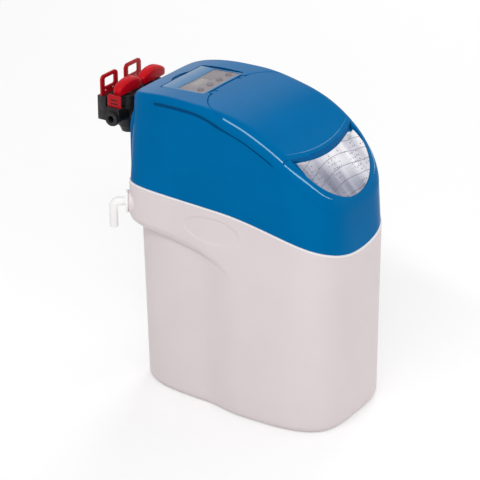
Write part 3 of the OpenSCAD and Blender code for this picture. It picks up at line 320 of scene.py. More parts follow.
# Handles, bypass slot and overflow
PORT_PITCH = 63.0
PIVOT_Y = 229.5
SLOT_W = 104.0
SLOT_TOP = 460.5
SLOT_FOOT = 345.0
HANDLE_L = 61.0
HANDLE_W = 18.0
HANDLE_FOOT = 473.0
HANDLE_TOP = 495.0
HANDLE_ARCH = 48.0
HANDLE_END_N = 5
HANDLE_FOOT_RISE = 3.0
HANDLE_TOP_FALL = 1.5
HANDLE_TOP_N = 3.4
HANDLE_FOOT_N = 9.0
HANDLE_RINGS = 45
HANDLE_SIDES = 56
HANDLE_END = 0.999
STEM_D = 12.0
STEM_TOP = 481.0
DIMPLE_D = 8.0
DIMPLE_IN = 0.95
DIMPLE_EDGE_FOOT = 0.8
DIMPLE_EDGE_W = 1.2
DIMPLE_EDGE_TOP = 0.4
OVERFLOW_Z = BELT_H + 33.0
OVERFLOW_ANGLE = 118.0
OVERFLOW_STEP = 0.5
BOSS_D = 38.0
BOSS_IN = 14.0
BOSS_OUT = 1.0
BOSS_CHAMFER = 0.5
OVERFLOW_HOLE = 16.0

# Camera, floor and light
CAMERA_AZ = -56.78
CAMERA_EL = 25.12
CAMERA_FOCUS_PX = 2018.0
CAMERA_DISTANCE = 3220.0
CAMERA_TARGET = (0.0, 38.1, 247.7)
FLOOR_TONE = 0.8
FLOOR_GLOW = 0.27
WORLD_FILL = 0.7
WORLD_SEEN = 1.0
FLOOR_HALF = 12.0
FLOOR_ROUGH = 0.95
LAMP_TARGET = (0.0, 0.0, 0.3)
SENSOR_W = 36.0
IMAGE_PX = 480.0
SEEN_RAYS = ("Is Camera Ray", "Is Glossy Ray", "Is Transmission Ray")

# Rounded edges, and their width on each CAD node that gets them
BEVEL_ANGLE = 28.0
BEVEL_SEGMENTS = 2
BEVEL_WELD = 2e-6
BEVEL_FLAT = 1.0
FINISHED = {
    "bypass_body": 0.7, "rotor_caps": 0.6, "side_adapter": 0.5, "rear_plate": 0.6,
    "inlet_clip": 0.9, "outlet_clip": 0.9, "side_clip": 0.7, "display_panel": 0.7,
    "display_overlay": 0.15, "lcd_lens": 0.15, "key_1": 0.25, "key_2": 0.25, "key_3": 0.25, "key_4": 0.25,
    "overflow_elbow": 0.8, "overflow_gasket": 0.3, "drain_barb": 0.3, "hinge_lugs": 0.4}


# Shape functions of the cabinet
def mix(a, b, t):
    return a + (b - a) * t


def ease(t):
    s = np.clip(t, 0.0, 1.0)
    return s * s * (3.0 - 2.0 * s)


def steps(count):
    """Shares from 0 to 1 without the first."""
    return np.linspace(0.0, 1.0, count)[1:]


def lengths(v):
    return np.linalg.norm(v, axis=-1)


def run_along(p, weight=1.0):
    """Length of a line of points up to each of them."""
    return np.concatenate([[0.0], np.cumsum(lengths(np.diff(p, axis=0)) * weight)])


def polar(q, a, b, n):
    c, s = np.cos(q), np.sin(q)
    r = ((np.abs(c) / a) ** n + (np.abs(s) / b) ** n) ** (-1.0 / n)
    return np.stack([r * c, r * s], -1)


def circle(count):
    return np.linspace(0.0, 2.0 * math.pi, count, endpoint=False)


def at(p, z):
    return np.concatenate([p, np.broadcast_to(z, p.shape[:-1])[..., None]], -1)


def belt(q, inset):
    """Widest outline of the cabinet."""
    front = np.sin(q) < 0
    reach = np.where(front, FRONT_REACH, BACK_REACH) - inset
    return polar(q, HALF_W - inset, reach, np.where(front, BELT_FRONT_N, BELT_REAR_N))


def seam_z(p):
    """Height of the seam between tank and cover."""
    y = p[..., 1]
    fall = np.maximum(0.0, (SEAM_BEND_Y - y) / (SEAM_BEND_Y + FRONT_REACH)) ** SEAM_POWER
    chin = np.clip(1.0 - (p[..., 0] / SEAM_DIP_HALF) ** 2, 0.0, 1.0) ** 2
    dip = SEAM_DIP * chin * (y < 0)
    return SEAM_BACK_H - SEAM_SLOPE * (BELT_BEND_Y - y) - SEAM_FALL * fall - dip


def lobe(q, z, inset):
    reach = BACK_REACH - REVEAL - LOBE_DRAFT * (1.0 - z / BELT_H) - inset
    return polar(q, LOBE_HALF_W - inset, reach, LOBE_N)


def tank_side(q, z, inset):
    """Outline of the tank, the belt in front and the lobe behind."""
    b = belt(q, inset)
    share = ease((b[:, 1] - WAIST_Y - WAIST_RISE * z / BELT_H) / WAIST_L + 0.5)
    return mix(b, lobe(q, z, inset), share[:, None])


def belt_z(y):
    bend = np.maximum(0.0, (BELT_BEND_Y - y) / (BELT_BEND_Y - BELT_FADE_Y)) ** 2
    return BELT_H - np.minimum(BELT_DROP_MAX, BELT_FADE_DROP * bend)


def flat_ring(q, z, inset):
    return at(tank_side(q, z, inset), z)


def belt_ring(q, dz, blend, inset):
    b = belt(q, inset)
    return at(mix(tank_side(q, BELT_H, inset), b, blend), belt_z(b[:, 1]) + dz)


def seam_ring(q, dz, inset):
    p = belt(q, inset)
    return at(p, seam_z(p) + dz)


def narrow(y):
    return 1.0 - CREST_TAPER * np.maximum(0.0, y - CREST_WIDEST_Y)


def crest_reach(y):
    return np.where(y < 0, CREST_FRONT, CREST_BACK)


def crest_n(y):
    return np.where(y < 0, CREST_FRONT_N, BELT_REAR_N)


def crest(q, inset):
    """Outline where the cover's wall ends and its roof begins."""
    s = np.sin(q)
    p = polar(q, CREST_HALF_W - inset, crest_reach(s) - inset, crest_n(s))
    return np.stack([p[:, 0] * narrow(p[:, 1]), p[:, 1]], -1)


def roof_top(y):
    front = RIM_DROP * (np.maximum(0.0, PEAK_Y - y) / (PEAK_Y + CREST_FRONT)) ** ROOF_POWER
    rear = REAR_DROP * (np.maximum(0.0, y - PEAK_Y) / (CREST_BACK - PEAK_Y)) ** 2
    return TOP_H - front - rear


def crest_r(y):
    return mix(SIDE_FILLET, DECK_FILLET, ease((y - FILLET_TURN_Y) / FILLET_TURN_L))


def round_off(d, r):
    return np.where(d >= r, 0.0, r * (1.0 - np.sqrt(np.clip(d, 0.0, r) / r)) ** 2)


def depth_in(p, inset):
    y = p[:, 1]
    a = CREST_HALF_W - inset
    b = crest_reach(y) - inset
    n = crest_n(y)
    u = np.abs(p[:, 0]) / narrow(y) / a
    v = np.abs(y) / b
    rho = np.maximum(1e-6, (u ** n + v ** n) ** (1.0 / n))
    slope = np.hypot((u / rho) ** (n - 1.0) / a, (v / rho) ** (n - 1.0) / b)
    return (1.0 - rho) / slope


def roof_z(p, inset):
    """Height of the roof, rounded off toward the crest."""
    return roof_top(p[:, 1]) - inset - round_off(depth_in(p, inset), crest_r(p[:, 1]) - inset)


def on_roof(p, inset):
    return at(p, roof_z(p, inset))


def rear_share(q):
    return ease(np.sin(q) / MOUTH_BLEND)


def window_frame(q, gap):
    front = math.radians(FRONT_ANGLE)
    t = front + (q - front) / (FRONT_ANGLE - WINDOW_FROM) * WINDOW_SPAN
    return polar(t, WINDOW_HALF_W - gap, WINDOW_REACH - gap, WINDOW_N) + [0.0, LID_TIP_Y]


def lid_tip():
    """Direction of the lid's front tips, and the place of the right one."""
    half = CREST_HALF_W * (1.0 - (-LID_TIP_Y / CREST_FRONT) ** CREST_FRONT_N) ** (1.0 / CREST_FRONT_N)
    q = math.atan2(-LID_TIP_Y, half)
    return q, *crest(np.array([-q]), MOUTH_EDGE + LID_GAP)[0]


TIP_Q, LIP_TIP_X, LIP_TIP_Y = lid_tip()


def lip_y(x):
    """Front edge of the lid's lip."""
    return LIP_TIP_Y - LIP_BOW * (1.0 - (x / LIP_TIP_X) ** 2)


def mouth(q, gap):
    """Outline of the opening for the lid and the window."""
    q = np.mod(q, 2 * math.pi)
    side = crest(q, MOUTH_EDGE + gap)
    half = CREST_HALF_W * narrow(np.array(MOUTH_TURN_Y)) - MOUTH_EDGE - MOUTH_IN
    rear = polar(q, half - gap, MOUTH_BACK_Y - MOUTH_TURN_Y - gap, MOUTH_N) + [0.0, MOUTH_TURN_Y]
    turn = ((LID_TIP_Y - crest(q, 0.0)[:, 1]) / TURN_L)[:, None]
    inward = mix(np.abs(side[:, :1]), WINDOW_HALF_W - gap, ease(turn / WEB_SHARE))
    web = np.concatenate([np.sign(side[:, :1]) * inward, lip_y(inward) - WEB_GAP + gap], -1)
    front = mix(web, window_frame(q, gap), ease((turn - WEB_SHARE) / (1.0 - WEB_SHARE)))
    return np.where(turn > 0, front, mix(side, rear, rear_share(q)[:, None]))


def seat_z(y):
    return roof_top(y) - mix(LID_SEAT, WINDOW_SEAT, ease((LID_TIP_Y + SEAT_TURN - y) / SEAT_TURN))


def wall_point(q, u, inset):
    """Points a share u of the way up the cover's wall."""
    s, c = belt(q, REVEAL + inset), crest(q, inset)
    low = at(s, seam_z(s) + SEAM_GAP)
    high = at(c, roof_top(c[:, 1]) - crest_r(c[:, 1]))
    return mix(low, high, np.broadcast_to(u, q.shape)[:, None])


def groove_depth(q, below):
    y = crest(q, 0.0)[:, 1]
    along = ease((y - GROOVE_FRONT_Y) / GROOVE_FADE) * ease((GROOVE_BACK_Y - y) / GROOVE_FADE)
    turn = ease((y - GROOVE_TURN_Y) / GROOVE_TURN_L)
    width = mix(GROOVE_FRONT_W, GROOVE_BACK_W, turn)
    top = ease((below - GROOVE_TOP) / GROOVE_TOP_EDGE)
    foot = ease((width - below) / mix(GROOVE_FRONT_EDGE, GROOVE_BACK_EDGE, turn))
    return GROOVE_IN * along * top * foot


def wall_height(q):
    c = crest(q, 0.0)
    return roof_top(c[:, 1]) - crest_r(c[:, 1]) - seam_z(c)


def groove_ring(q, below):
    p = wall_point(q, 1.0 - below / wall_height(q), 0.0)
    out = p[:, :2] / lengths(p[:, :2])[:, None]
    p[:, :2] -= out * groove_depth(q, below)[:, None]
    return p


def crest_ring(q, d):
    p = crest(q, d)
    return at(p, roof_top(p[:, 1]) - round_off(np.full(len(q), d), crest_r(p[:, 1])))


def deck_ring(q, w):
    w = mix(w, w * w, rear_share(q))[:, None]
    return on_roof(mix(crest(q, CREST_START), mouth(q, -EDGE_R), w), 0.0)


def seat_ring(q, gap, dz):
    p = mouth(q, gap)
    return at(p, seat_z(p[:, 1]) - dz)


def under_ring(q, w, share):
    p = mix(mouth(q, -SEAT_BACK), crest(q, COVER_WALL), 1.0 - (1.0 - w) ** 2)
    rear = at(p, seat_z(p[:, 1]) - SEAT_T) if share < 0 else on_roof(p, COVER_WALL)
    front = wall_point(q, UNDER_HIGH - UNDER_FALL * (w + share + 1.0) / 2.0, COVER_WALL)
    return mix(front, rear, rear_share(q)[:, None])


def even_directions(count):
    """Directions at even steps along the belt, closer where the opening turns to the window."""
    dense = np.linspace(0.0, 2.0 * math.pi, DENSE)
    p = belt(dense, 0.0)
    middle = (p[1:, 1] + p[:-1, 1]) / 2.0
    weight = 1.0 + TURN_MORE * np.exp(-((middle - LID_TIP_Y + TURN_AHEAD) / TURN_SPREAD) ** 2)
    length = run_along(p, weight)
    return np.interp(np.arange(count) / count * length[-1], length, dense)


# Mesh helpers
def add_object(name, data):
    obj = bpy.data.objects.new(name, data)
    bpy.context.scene.collection.objects.link(obj)
    return obj


def new_mesh(name, points, faces):
    mesh = bpy.data.meshes.new(name)
    mesh.from_pydata((np.asarray(points) * MM).tolist(), [], faces)
    mesh.update()
    return mesh


def new_piece(name, points, faces, body, slot, replaced=()):
    mesh = new_mesh(name, points, faces)
    mesh.validate()
    obj = add_object(name, mesh)
    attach(obj, body)
    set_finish(obj, slot)
    if replaced:
        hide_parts(*replaced)
    return obj


def smooth(obj, degrees=32.0):
    obj.data.shade_smooth()
    obj.data.set_sharp_from_angle(angle=math.radians(degrees))


def paint(obj, index, chosen):
    """Gives look number index of the piece, see EXTRA, to faces chosen by middle (mm) and normal."""
    faces = obj.data.polygons
    middles, normals = np.empty(3 * len(faces)), np.empty(3 * len(faces))
    faces.foreach_get("center", middles)
    faces.foreach_get("normal", normals)
    finishes = np.empty(len(faces), np.int32)
    faces.foreach_get("material_index", finishes)
    finishes[chosen(middles.reshape(-1, 3) / MM, normals.reshape(-1, 3))] = index
    faces.foreach_set("material_index", finishes)


def loft(rings, looped):
    """Points and quads of a skin over closed rings, capped by fans unless looped."""
    n, m = len(rings[0]), len(rings)
    points = np.concatenate(rings)
    faces = []
    for i in range(m if looped else m - 1):
        a, b = i * n, (i + 1) % m * n
        faces += [(a + k, a + (k + 1) % n, b + (k + 1) % n, b + k) for k in range(n)]
    if not looped:
        points = np.concatenate([points, [rings[0].mean(0), rings[-1].mean(0)]])
        last = (m - 1) * n
        faces += [(m * n, (k + 1) % n, k) for k in range(n)]
        faces += [(m * n + 1, last + k, last + (k + 1) % n) for k in range(n)]
    return points, faces


# Tank
def oval_sink(p):
    """Depth of the shallow oval on the flanks at each point."""
    r = np.sqrt(((p[:, 1] - OVAL_Y) / OVAL_HALF_L) ** 2 + ((p[:, 2] - OVAL_Z) / OVAL_HALF_H) ** 2)
    inside = (1.0 - r) * OVAL_HALF_H
    return OVAL_DEPTH * ease(inside / OVAL_EDGE + 0.5) * (np.abs(p[:, 0]) > LOBE_HALF_W)


def foot_inset(z):
    return FOOT_R * (1.0 - math.sqrt(max(0.0, 1.0 - (1.0 - z / FOOT_H) ** 2)))


def belt_blend(t):
    return (1.0 - (1.0 - t) ** 2) ** BELT_SWELL


def tank_rings(q):
    foot = FOOT_H * (1 - np.cos(np.linspace(0, math.pi / 2, FOOT_RINGS)))
    rings = [flat_ring(q, z, foot_inset(z)) for z in foot]
    rings += [flat_ring(q, z, 0.0) for z in np.linspace(FOOT_H, HIGH_H, LOW_RINGS)[1:]]
    high, under = flat_ring(q, HIGH_H, 0.0), belt_ring(q, BELT_UNDER, 0.0, 0.0)
    rings += [mix(high, under, t) for t in steps(HIGH_RINGS)]
    for t in steps(BELT_RINGS) ** BELT_CROWD:
        rings.append(belt_ring(q, mix(BELT_UNDER, BELT_OVER, t), belt_blend(t), 0.0))
    low, top = belt_ring(q, BELT_OVER, 1.0, 0.0), seam_ring(q, WALL_TOP, 0.0)
    for t in steps(SIDE_RINGS):
        ring = mix(low, top, t)
        ring[:, 0] -= np.sign(ring[:, 0]) * oval_sink(ring)
        rings.append(ring)
    rings += [seam_ring(q, TANK_RIM_FOOT, 0.0)]
    for a in TANK_RIM_ANGLES:
        rings.append(seam_ring(q, TANK_RIM_H * (math.sin(a) - 1.0), TANK_RIM_W * (1 - math.cos(a))))
    lip_in = LEDGE_W + TANK_LIP_T
    rings += [seam_ring(q, 0.0, LEDGE_W), seam_ring(q, TANK_LIP_H, LEDGE_W + TANK_LIP_DRAFT)]
    rings += [seam_ring(q, TANK_LIP_H, lip_in), seam_ring(q, TANK_LIP_FOOT, lip_in)]
    rings += [belt_ring(q, dz, blend, TANK_WALL) for dz, blend in INNER_BELT]
    inner = np.linspace(HIGH_H, TANK_FLOOR + INNER_FOOT_H, INNER_RINGS)
    rings += [flat_ring(q, z, TANK_WALL) for z in inner]
    rings += [flat_ring(q, TANK_FLOOR + INNER_FOOT_STEP, TANK_WALL + INNER_FOOT_STEP)]
    return rings + [flat_ring(q, TANK_FLOOR, TANK_WALL + FOOT_R)]


def make_tank():
    points, faces = loft(tank_rings(even_directions(AROUND)), looped=False)
    tank = new_piece("tank_shell", points, faces, "cabinet", "white_plastic", ["brine_tank"])
    smooth(tank)
    # Painted highlight: a whiter band along the tank's rim at the seam, where a bright line falls
    paint(tank, 1, lambda p, normal: np.abs(p[:, 2] - seam_z(p) - TANK_LINE_Z) < TANK_LINE_H)


# Solids that are joined to a piece or cut from it
def prism(outline, low, high):
    """Points and faces of an upright block over an outline that runs anticlockwise."""
    n = len(outline)
    points = [(x, y, z) for z in (low, high) for x, y in outline]
    faces = [tuple(range(n - 1, -1, -1)), tuple(range(n, 2 * n))]
    faces += [(k, (k + 1) % n, n + (k + 1) % n, n + k) for k in range(n)]
    return np.array(points, float), faces


def block(low, high):
    (x0, y0, z0), (x1, y1, z1) = low, high
    return prism([(x0, y0), (x1, y0), (x1, y1), (x0, y1)], z0, z1)


def rounded_outline(w, d, r, count=8):
    corners = ((1, 1, 0), (-1, 1, 90), (-1, -1, 180), (1, -1, 270))
    points = []
    for sx, sy, start in corners:
        for a in np.radians(np.linspace(start, start + 90, count + 1)):
            points.append((sx * (w / 2 - r) + r * math.cos(a), sy * (d / 2 - r) + r * math.sin(a)))
    return np.array(points)


def slab(levels, r):
    """A rounded block through levels of (width, depth, height)."""
    return loft([at(rounded_outline(w, d, r), np.array(z)) for w, d, z in levels], looped=False)


def turned(profile, count=64):
    """A ring turned about Z from a closed profile of (radius, height)."""
    a = circle(count)
    rings = [np.stack([r * np.cos(a), r * np.sin(a), np.full(count, h)], -1) for r, h in profile]
    return loft(rings, looped=True)


def on_panel(points, faces):
    """Carries a solid from the display panel's own frame to the part's."""
    tilt = math.radians(PANEL_TILT)
    high = roof_top(PANEL_FRONT_Y) - PANEL_SINK - PANEL_D / 2 * math.sin(tilt)
    x, y, z = np.asarray(points).T
    along = PANEL_Y + y * math.cos(tilt) + z * math.sin(tilt)
    return np.stack([x, along, high - y * math.sin(tilt) + z * math.cos(tilt)], -1), faces


def at_overflow(points):
    """Carries points from an axis square to the belt at the overflow to the part's frame."""
    angles = OVERFLOW_ANGLE + np.array([-OVERFLOW_STEP, 0.0, OVERFLOW_STEP])
    before, foot, after = belt(np.radians(angles), 0.0)
    run = after - before
    turn = math.atan2(run[1], run[0]) + math.radians(270.0)
    axes = Matrix.Rotation(turn, 3, "Z") @ Matrix.Rotation(math.radians(90.0), 3, "Y")
    return np.asarray(points) @ np.array(axes).T + [foot[0], foot[1], OVERFLOW_Z]


def combine(obj, changes):
    """Joins or cuts the piece by (operation, points, faces) in turn and keeps the resulting mesh."""
    for operation, points, faces in changes:
        other = add_object("tool", new_mesh("tool", points, faces))
        change = obj.modifiers.new("combine", "BOOLEAN")
        change.operation = operation
        change.solver = "MANIFOLD"
        change.object = other
        bpy.context.view_layer.update()
        result = bpy.data.meshes.new_from_object(obj.evaluated_get(bpy.context.evaluated_depsgraph_get()))
        obj.modifiers.clear()
        obj.data = result
        bpy.data.objects.remove(other)


# Cover
def cover_rings(q):
    tall = wall_height(q)
    arc = np.linspace(0.0, math.pi / 2, EDGE_RINGS)
    rings = [wall_point(q, EDGE_R * (1 - math.cos(a)) / tall, EDGE_R * (1 - math.sin(a))) for a in arc]
    for u in steps(WALL_RINGS)[:-1]:
        rings.append(wall_point(q, mix(EDGE_R / tall, 1.0 - GROOVE_BAND / tall, u), 0.0))
    rings += [groove_ring(q, below) for below in GROOVE_LEVELS]
    rings += [crest_ring(q, CREST_START * t * t) for t in steps(CREST_RINGS)]
    rings += [deck_ring(q, w) for w in steps(DECK_RINGS)]
    for a in arc[1:]:
        p = mouth(q, -EDGE_R * (1 - math.sin(a)))
        rings.append(at(p, roof_z(p, 0.0) - EDGE_R * (1 - math.cos(a))))
    rings += [seat_ring(q, 0.0, 0.0), seat_ring(q, SEAT_W, 0.0), seat_ring(q, SEAT_W, SEAT_T)]
    rings += [under_ring(q, 0.0, -1)] + [under_ring(q, w, 1) for w in np.linspace(0.0, 1.0, UNDER_RINGS)]
    return rings + [wall_point(q, u, COVER_WALL) for u in INNER_LEVELS]


def thumb_outline():
    r = (THUMB_W ** 2 / 4 + THUMB_L ** 2) / (2 * THUMB_L)
    reach = math.asin(THUMB_W / 2 / r)
    mid = PANEL_D / 2 + THUMB_L - r
    return [(r * math.sin(a), mid + r * math.cos(a)) for a in np.linspace(reach, -reach, THUMB_POINTS)]


def make_cover():
    points, faces = loft(cover_rings(even_directions(AROUND)), looped=True)
    cover = new_piece("cover_shell", points, faces, "cabinet", "blue_plastic", ["top_cover"])
    backing_w, backing_d = PANEL_W + 2 * FRAME_W + FRAME_MORE, PANEL_D + 2 * FRAME_W
    backing = slab([(backing_w, backing_d, z) for z in (-PANEL_T - FRAME_T, FRAME_TOP)], FRAME_CORNER)
    wide, deep = PANEL_W + 2 * PANEL_GAP, PANEL_D + PANEL_GAP + PANEL_FRONT_GAP
    back = np.array([0.0, (PANEL_GAP - PANEL_FRONT_GAP) / 2, 0.0])
    gutter = slab([(wide + w, deep + d, z) for w, d, z in GUTTER_SIDES], PANEL_CORNER)
    fit_w, fit_d = PANEL_W + 2 * PANEL_FIT, PANEL_D + 2 * PANEL_FIT
    recess = slab([(fit_w, fit_d, z) for z in (-PANEL_T - PANEL_UNDER, 0.0)], PANEL_CORNER)
    inner_w, inner_d = PANEL_W - 2 * PANEL_LEDGE, PANEL_D - 2 * PANEL_LEDGE
    opening = slab([(inner_w, inner_d, z) for z in (-CUT, 0.0)], OPENING_CORNER)
    thumb = prism(thumb_outline(), -THUMB_IN, CUT)
    seat = float(seat_z(np.array(HINGE_Y)))
    pocket = block((-POCKET_HALF, HINGE_Y - BARREL_R - POCKET_CLEAR, seat),
                   (POCKET_HALF, MOUTH_BACK_Y, seat + POCKET_H))
    slot = block((-SLOT_W / 2, BACK_REACH - CUT, SLOT_FOOT), (SLOT_W / 2, BACK_REACH + CUT, SLOT_TOP))
    combine(cover, [
        ("UNION", *on_panel(*backing)),
        ("DIFFERENCE", *pocket),
        ("DIFFERENCE", *on_panel(gutter[0] + back, gutter[1])),
        ("DIFFERENCE", *on_panel(*recess)),
        ("DIFFERENCE", *on_panel(*opening)),
        ("DIFFERENCE", *on_panel(*thumb)),
        ("DIFFERENCE", *slot)])
    smooth(cover)
    # Painted highlight on the cover's front crest, then painted shade in the flank groove and in the panel's
    # recess
    paint(cover, 1, painted_highlight_streak)
    paint(cover, 2, shaded_in_groove)
    paint(cover, 2, shaded_in_recess)


def painted_highlight_streak(p, normal):
    """Painted highlight: a lighter blue band, with a real glossy coat, on the ridge that runs on from the
    lid's edge round the front corners.
    """
    along = (LID_TIP_Y + STREAK_START - p[:, 1]) / STREAK_L
    ridge = mix(STREAK_IN_FROM, STREAK_IN_TO, ease(along * STREAK_SHIFT))
    fade = 1.0 - np.clip(along, 0.0, 1.0) ** STREAK_END_N
    width = STREAK_W * mix(STREAK_THIN, 1.0, ease(along * STREAK_GROW)) * fade
    near = np.abs(depth_in(p[:, :2], 0.0) - ridge) < width
    outside = (normal[:, 2] > STREAK_UPWARD) & (p[:, 2] > roof_z(p[:, :2], 0.0) - STREAK_DEEP)
    return near & outside & (along > 0.0) & (along < 1.0)


def groove_middles(q):
    """Middles of the cover's faces that lie deep in the flank groove."""
    def quads(rings):
        return [(a + np.roll(a, -1, 0) + b + np.roll(b, -1, 0)) / 4.0 for a, b in zip(rings, rings[1:])]

    middles = quads([groove_ring(q, below) for below in GROOVE_LEVELS])
    depths = quads([groove_depth(q, below) for below in GROOVE_LEVELS])
    return np.concatenate(middles)[np.concatenate(depths) > GROOVE_DEEP * GROOVE_IN]


def shaded_in_groove(p, normal):
    """The faces of the cover that are nearest to those middles, which get a darker blue as painted shade in
    the groove.
    """
    middles = groove_middles(even_directions(AROUND))
    tree = KDTree(len(middles))
    for k, middle in enumerate(middles):
        tree.insert(middle, k)
    tree.balance()
    return np.array([tree.find(v)[2] < GROOVE_NEAR for v in p])


def shaded_in_recess(p, normal):
    """Walls and floors of the panel's recess and of the thumb notch, which get a darker blue as painted
    shade.
    """
    below = roof_z(p[:, :2], 0.0) - p[:, 2]
    along = np.abs(p[:, 1] - PANEL_Y) < PANEL_D / 2 + THUMB_L + RECESS_AROUND
    across = np.abs(p[:, 0]) < PANEL_W / 2 + RECESS_AROUND
    return along & across & (below > RECESS_FROM) & (below < PANEL_T + RECESS_UNDER)


# Lid
def lid_outline():
    """Edge of the lid and each point's share in the front lip."""
    q = np.linspace(-TIP_Q, math.pi + TIP_Q, LID_DENSE)
    length = run_along(mouth(q, LID_GAP))
    even = np.interp(np.linspace(0.0, length[-1], LID_SIDE_POINTS), length, q)
    side = mouth(even, LID_GAP)
    t = np.linspace(-1.0, 1.0, LIP_POINTS + 2)[1:-1]
    lip = np.stack([t * LIP_TIP_X, lip_y(t * LIP_TIP_X)], -1)
    share = np.concatenate([np.zeros(len(side)), 1.0 - np.abs(t) ** LIP_TAPER])
    return np.concatenate([side, lip]), share


def lip_fold(d):
    """Fall of the front lip at a distance from its edge, past a soft crease."""
    over = d - LIP_FOLD
    t = (np.sqrt(over ** 2 + LIP_CREASE ** 2) - over) / 2.0 / LIP_FOLD
    return LIP_DROP * (LIP_STRAIGHT * t + LIP_CURVED * t * t)


def make_lid():
    edge, lip = lid_outline()
    toward = LID_MID - edge
    toward /= lengths(toward)[:, None]

    def top(d, lower=0.0):
        p = edge + toward * d
        return at(p, roof_z(p, 0.0) - lip * lip_fold(np.full(len(edge), d)) - lower)

    def face(start, s, lower=0.0):
        p = LID_MID + (edge + toward * start - LID_MID) * s
        return at(p, roof_z(p, 0.0) - lower)

    def rim(d, lift):
        p = edge + toward * d
        return at(p, roof_top(p[:, 1]) - mix(RIM_DEPTH, LIP_DEPTH, lip) + lift)

    rings = [face(LID_BAND, s, LID_WALL) for s in LID_SHRINK[::-1]]
    rings += [top(LID_BAND, LID_WALL), top(RIM_DRAFT + 2 * RIM_W, LID_WALL), rim(RIM_DRAFT + RIM_W, 0.0)]
    rings += [rim(RIM_DRAFT + RIM_FLAT, 0.0), rim(RIM_DRAFT, RIM_LIFT)]
    rings += [top(0.0, FACET_IN), top(FACET_EDGE, FACET_IN - FACET_DROP), top(FACET_IN, 0.0)]
    rings += [top(d) for d in LID_STEPS]
    rings += [face(LID_BAND, s) for s in LID_SHRINK]
    points, faces = loft(rings, looped=False)
    lid = new_piece("lid_shell", points, faces, "lid", "blue_plastic", ["salt_lid"])
    z = float(roof_top(np.array(HINGE_Y))) - BARREL_R
    notch = block((-BARREL_HALF, HINGE_Y, z - CUT), (BARREL_HALF, HINGE_Y + CUT, z + CUT))
    changes = [("DIFFERENCE", *notch)]
    for s in (-1, 1):
        near, far = sorted((s * BARREL_HALF, s * (BARREL_HALF + HEEL_W)))
        heel = HINGE_Y - BARREL_R - HEEL_GAP
        changes.append(("DIFFERENCE", *block((near, heel, z - CUT), (far, heel + CUT, z + CUT))))
    a = circle(BARREL_SIDES)
    inner_half, inner_r = BARREL_HALF - BARREL_CHAMFER, BARREL_R - BARREL_CHAMFER
    ends = ((-BARREL_HALF, inner_r), (-inner_half, BARREL_R), (inner_half, BARREL_R), (BARREL_HALF, inner_r))
    barrel = [np.stack([np.full(BARREL_SIDES, x), HINGE_Y + r * np.cos(a), z + r * np.sin(a)], -1)
              for x, r in ends]
    changes.append(("UNION", *loft(barrel, looped=False)))
    for s in (-1, 1):
        x = s * LUG_X
        slot = block((x - LUG_SLOT / 2, HINGE_Y - BARREL_R - LUG_CLEAR, z - CUT),
                     (x + LUG_SLOT / 2, HINGE_Y + CUT, z + CUT))
        changes.append(("DIFFERENCE", *slot))
    combine(lid, changes)
    smooth(lid)
    out = edge - LID_MID
    bearing = np.arctan2(out[:, 1], out[:, 0])
    order = np.argsort(bearing)
    bearing, reach, share = bearing[order], lengths(out)[order], lip[order]

    def band(p, normal):
        """Distance in from the lid's edge, and the share in the lip, of each upper face."""
        from_mid = p[:, :2] - LID_MID
        angle = np.arctan2(from_mid[:, 1], from_mid[:, 0])
        inward = np.interp(angle, bearing, reach, period=2 * math.pi) - lengths(from_mid)
        upper = (normal[:, 2] > LID_UPWARD) & (p[:, 2] > roof_z(p[:, :2], 0.0) - LIP_DEPTH)
        return np.where(upper, inward, -1.0), np.interp(angle, bearing, share, period=2 * math.pi)

    # Lid faces on the side facets, which get a painted highlight
    def side_facet_highlight(p, normal):
        d, front = band(p, normal)
        return (d > FACET_FROM) & (d < FACET_IN) & (front < LIP_SHARE_MIN) & (p[:, 1] < MOUTH_TURN_Y)

    # Lid faces along the lip's crease, which get a painted highlight
    def crease(p, normal):
        d, front = band(p, normal)
        return (abs(d - LIP_FOLD) < LIP_LINE * front) & (front > CREASE_SHARE_MIN)

    # Lid faces on the lip's band, which get a darker blue as painted shade
    def lip_shade_band(p, normal):
        d, front = band(p, normal)
        return (d > 0.0) & (d < LIP_SHADE * front) & (front > LIP_SHARE_MIN)

    # Painted highlight on the side facets, painted shade on the lip's band, painted highlight along the
    # crease
    paint(lid, 1, side_facet_highlight)
    paint(lid, 2, lip_shade_band)
    paint(lid, 3, crease)


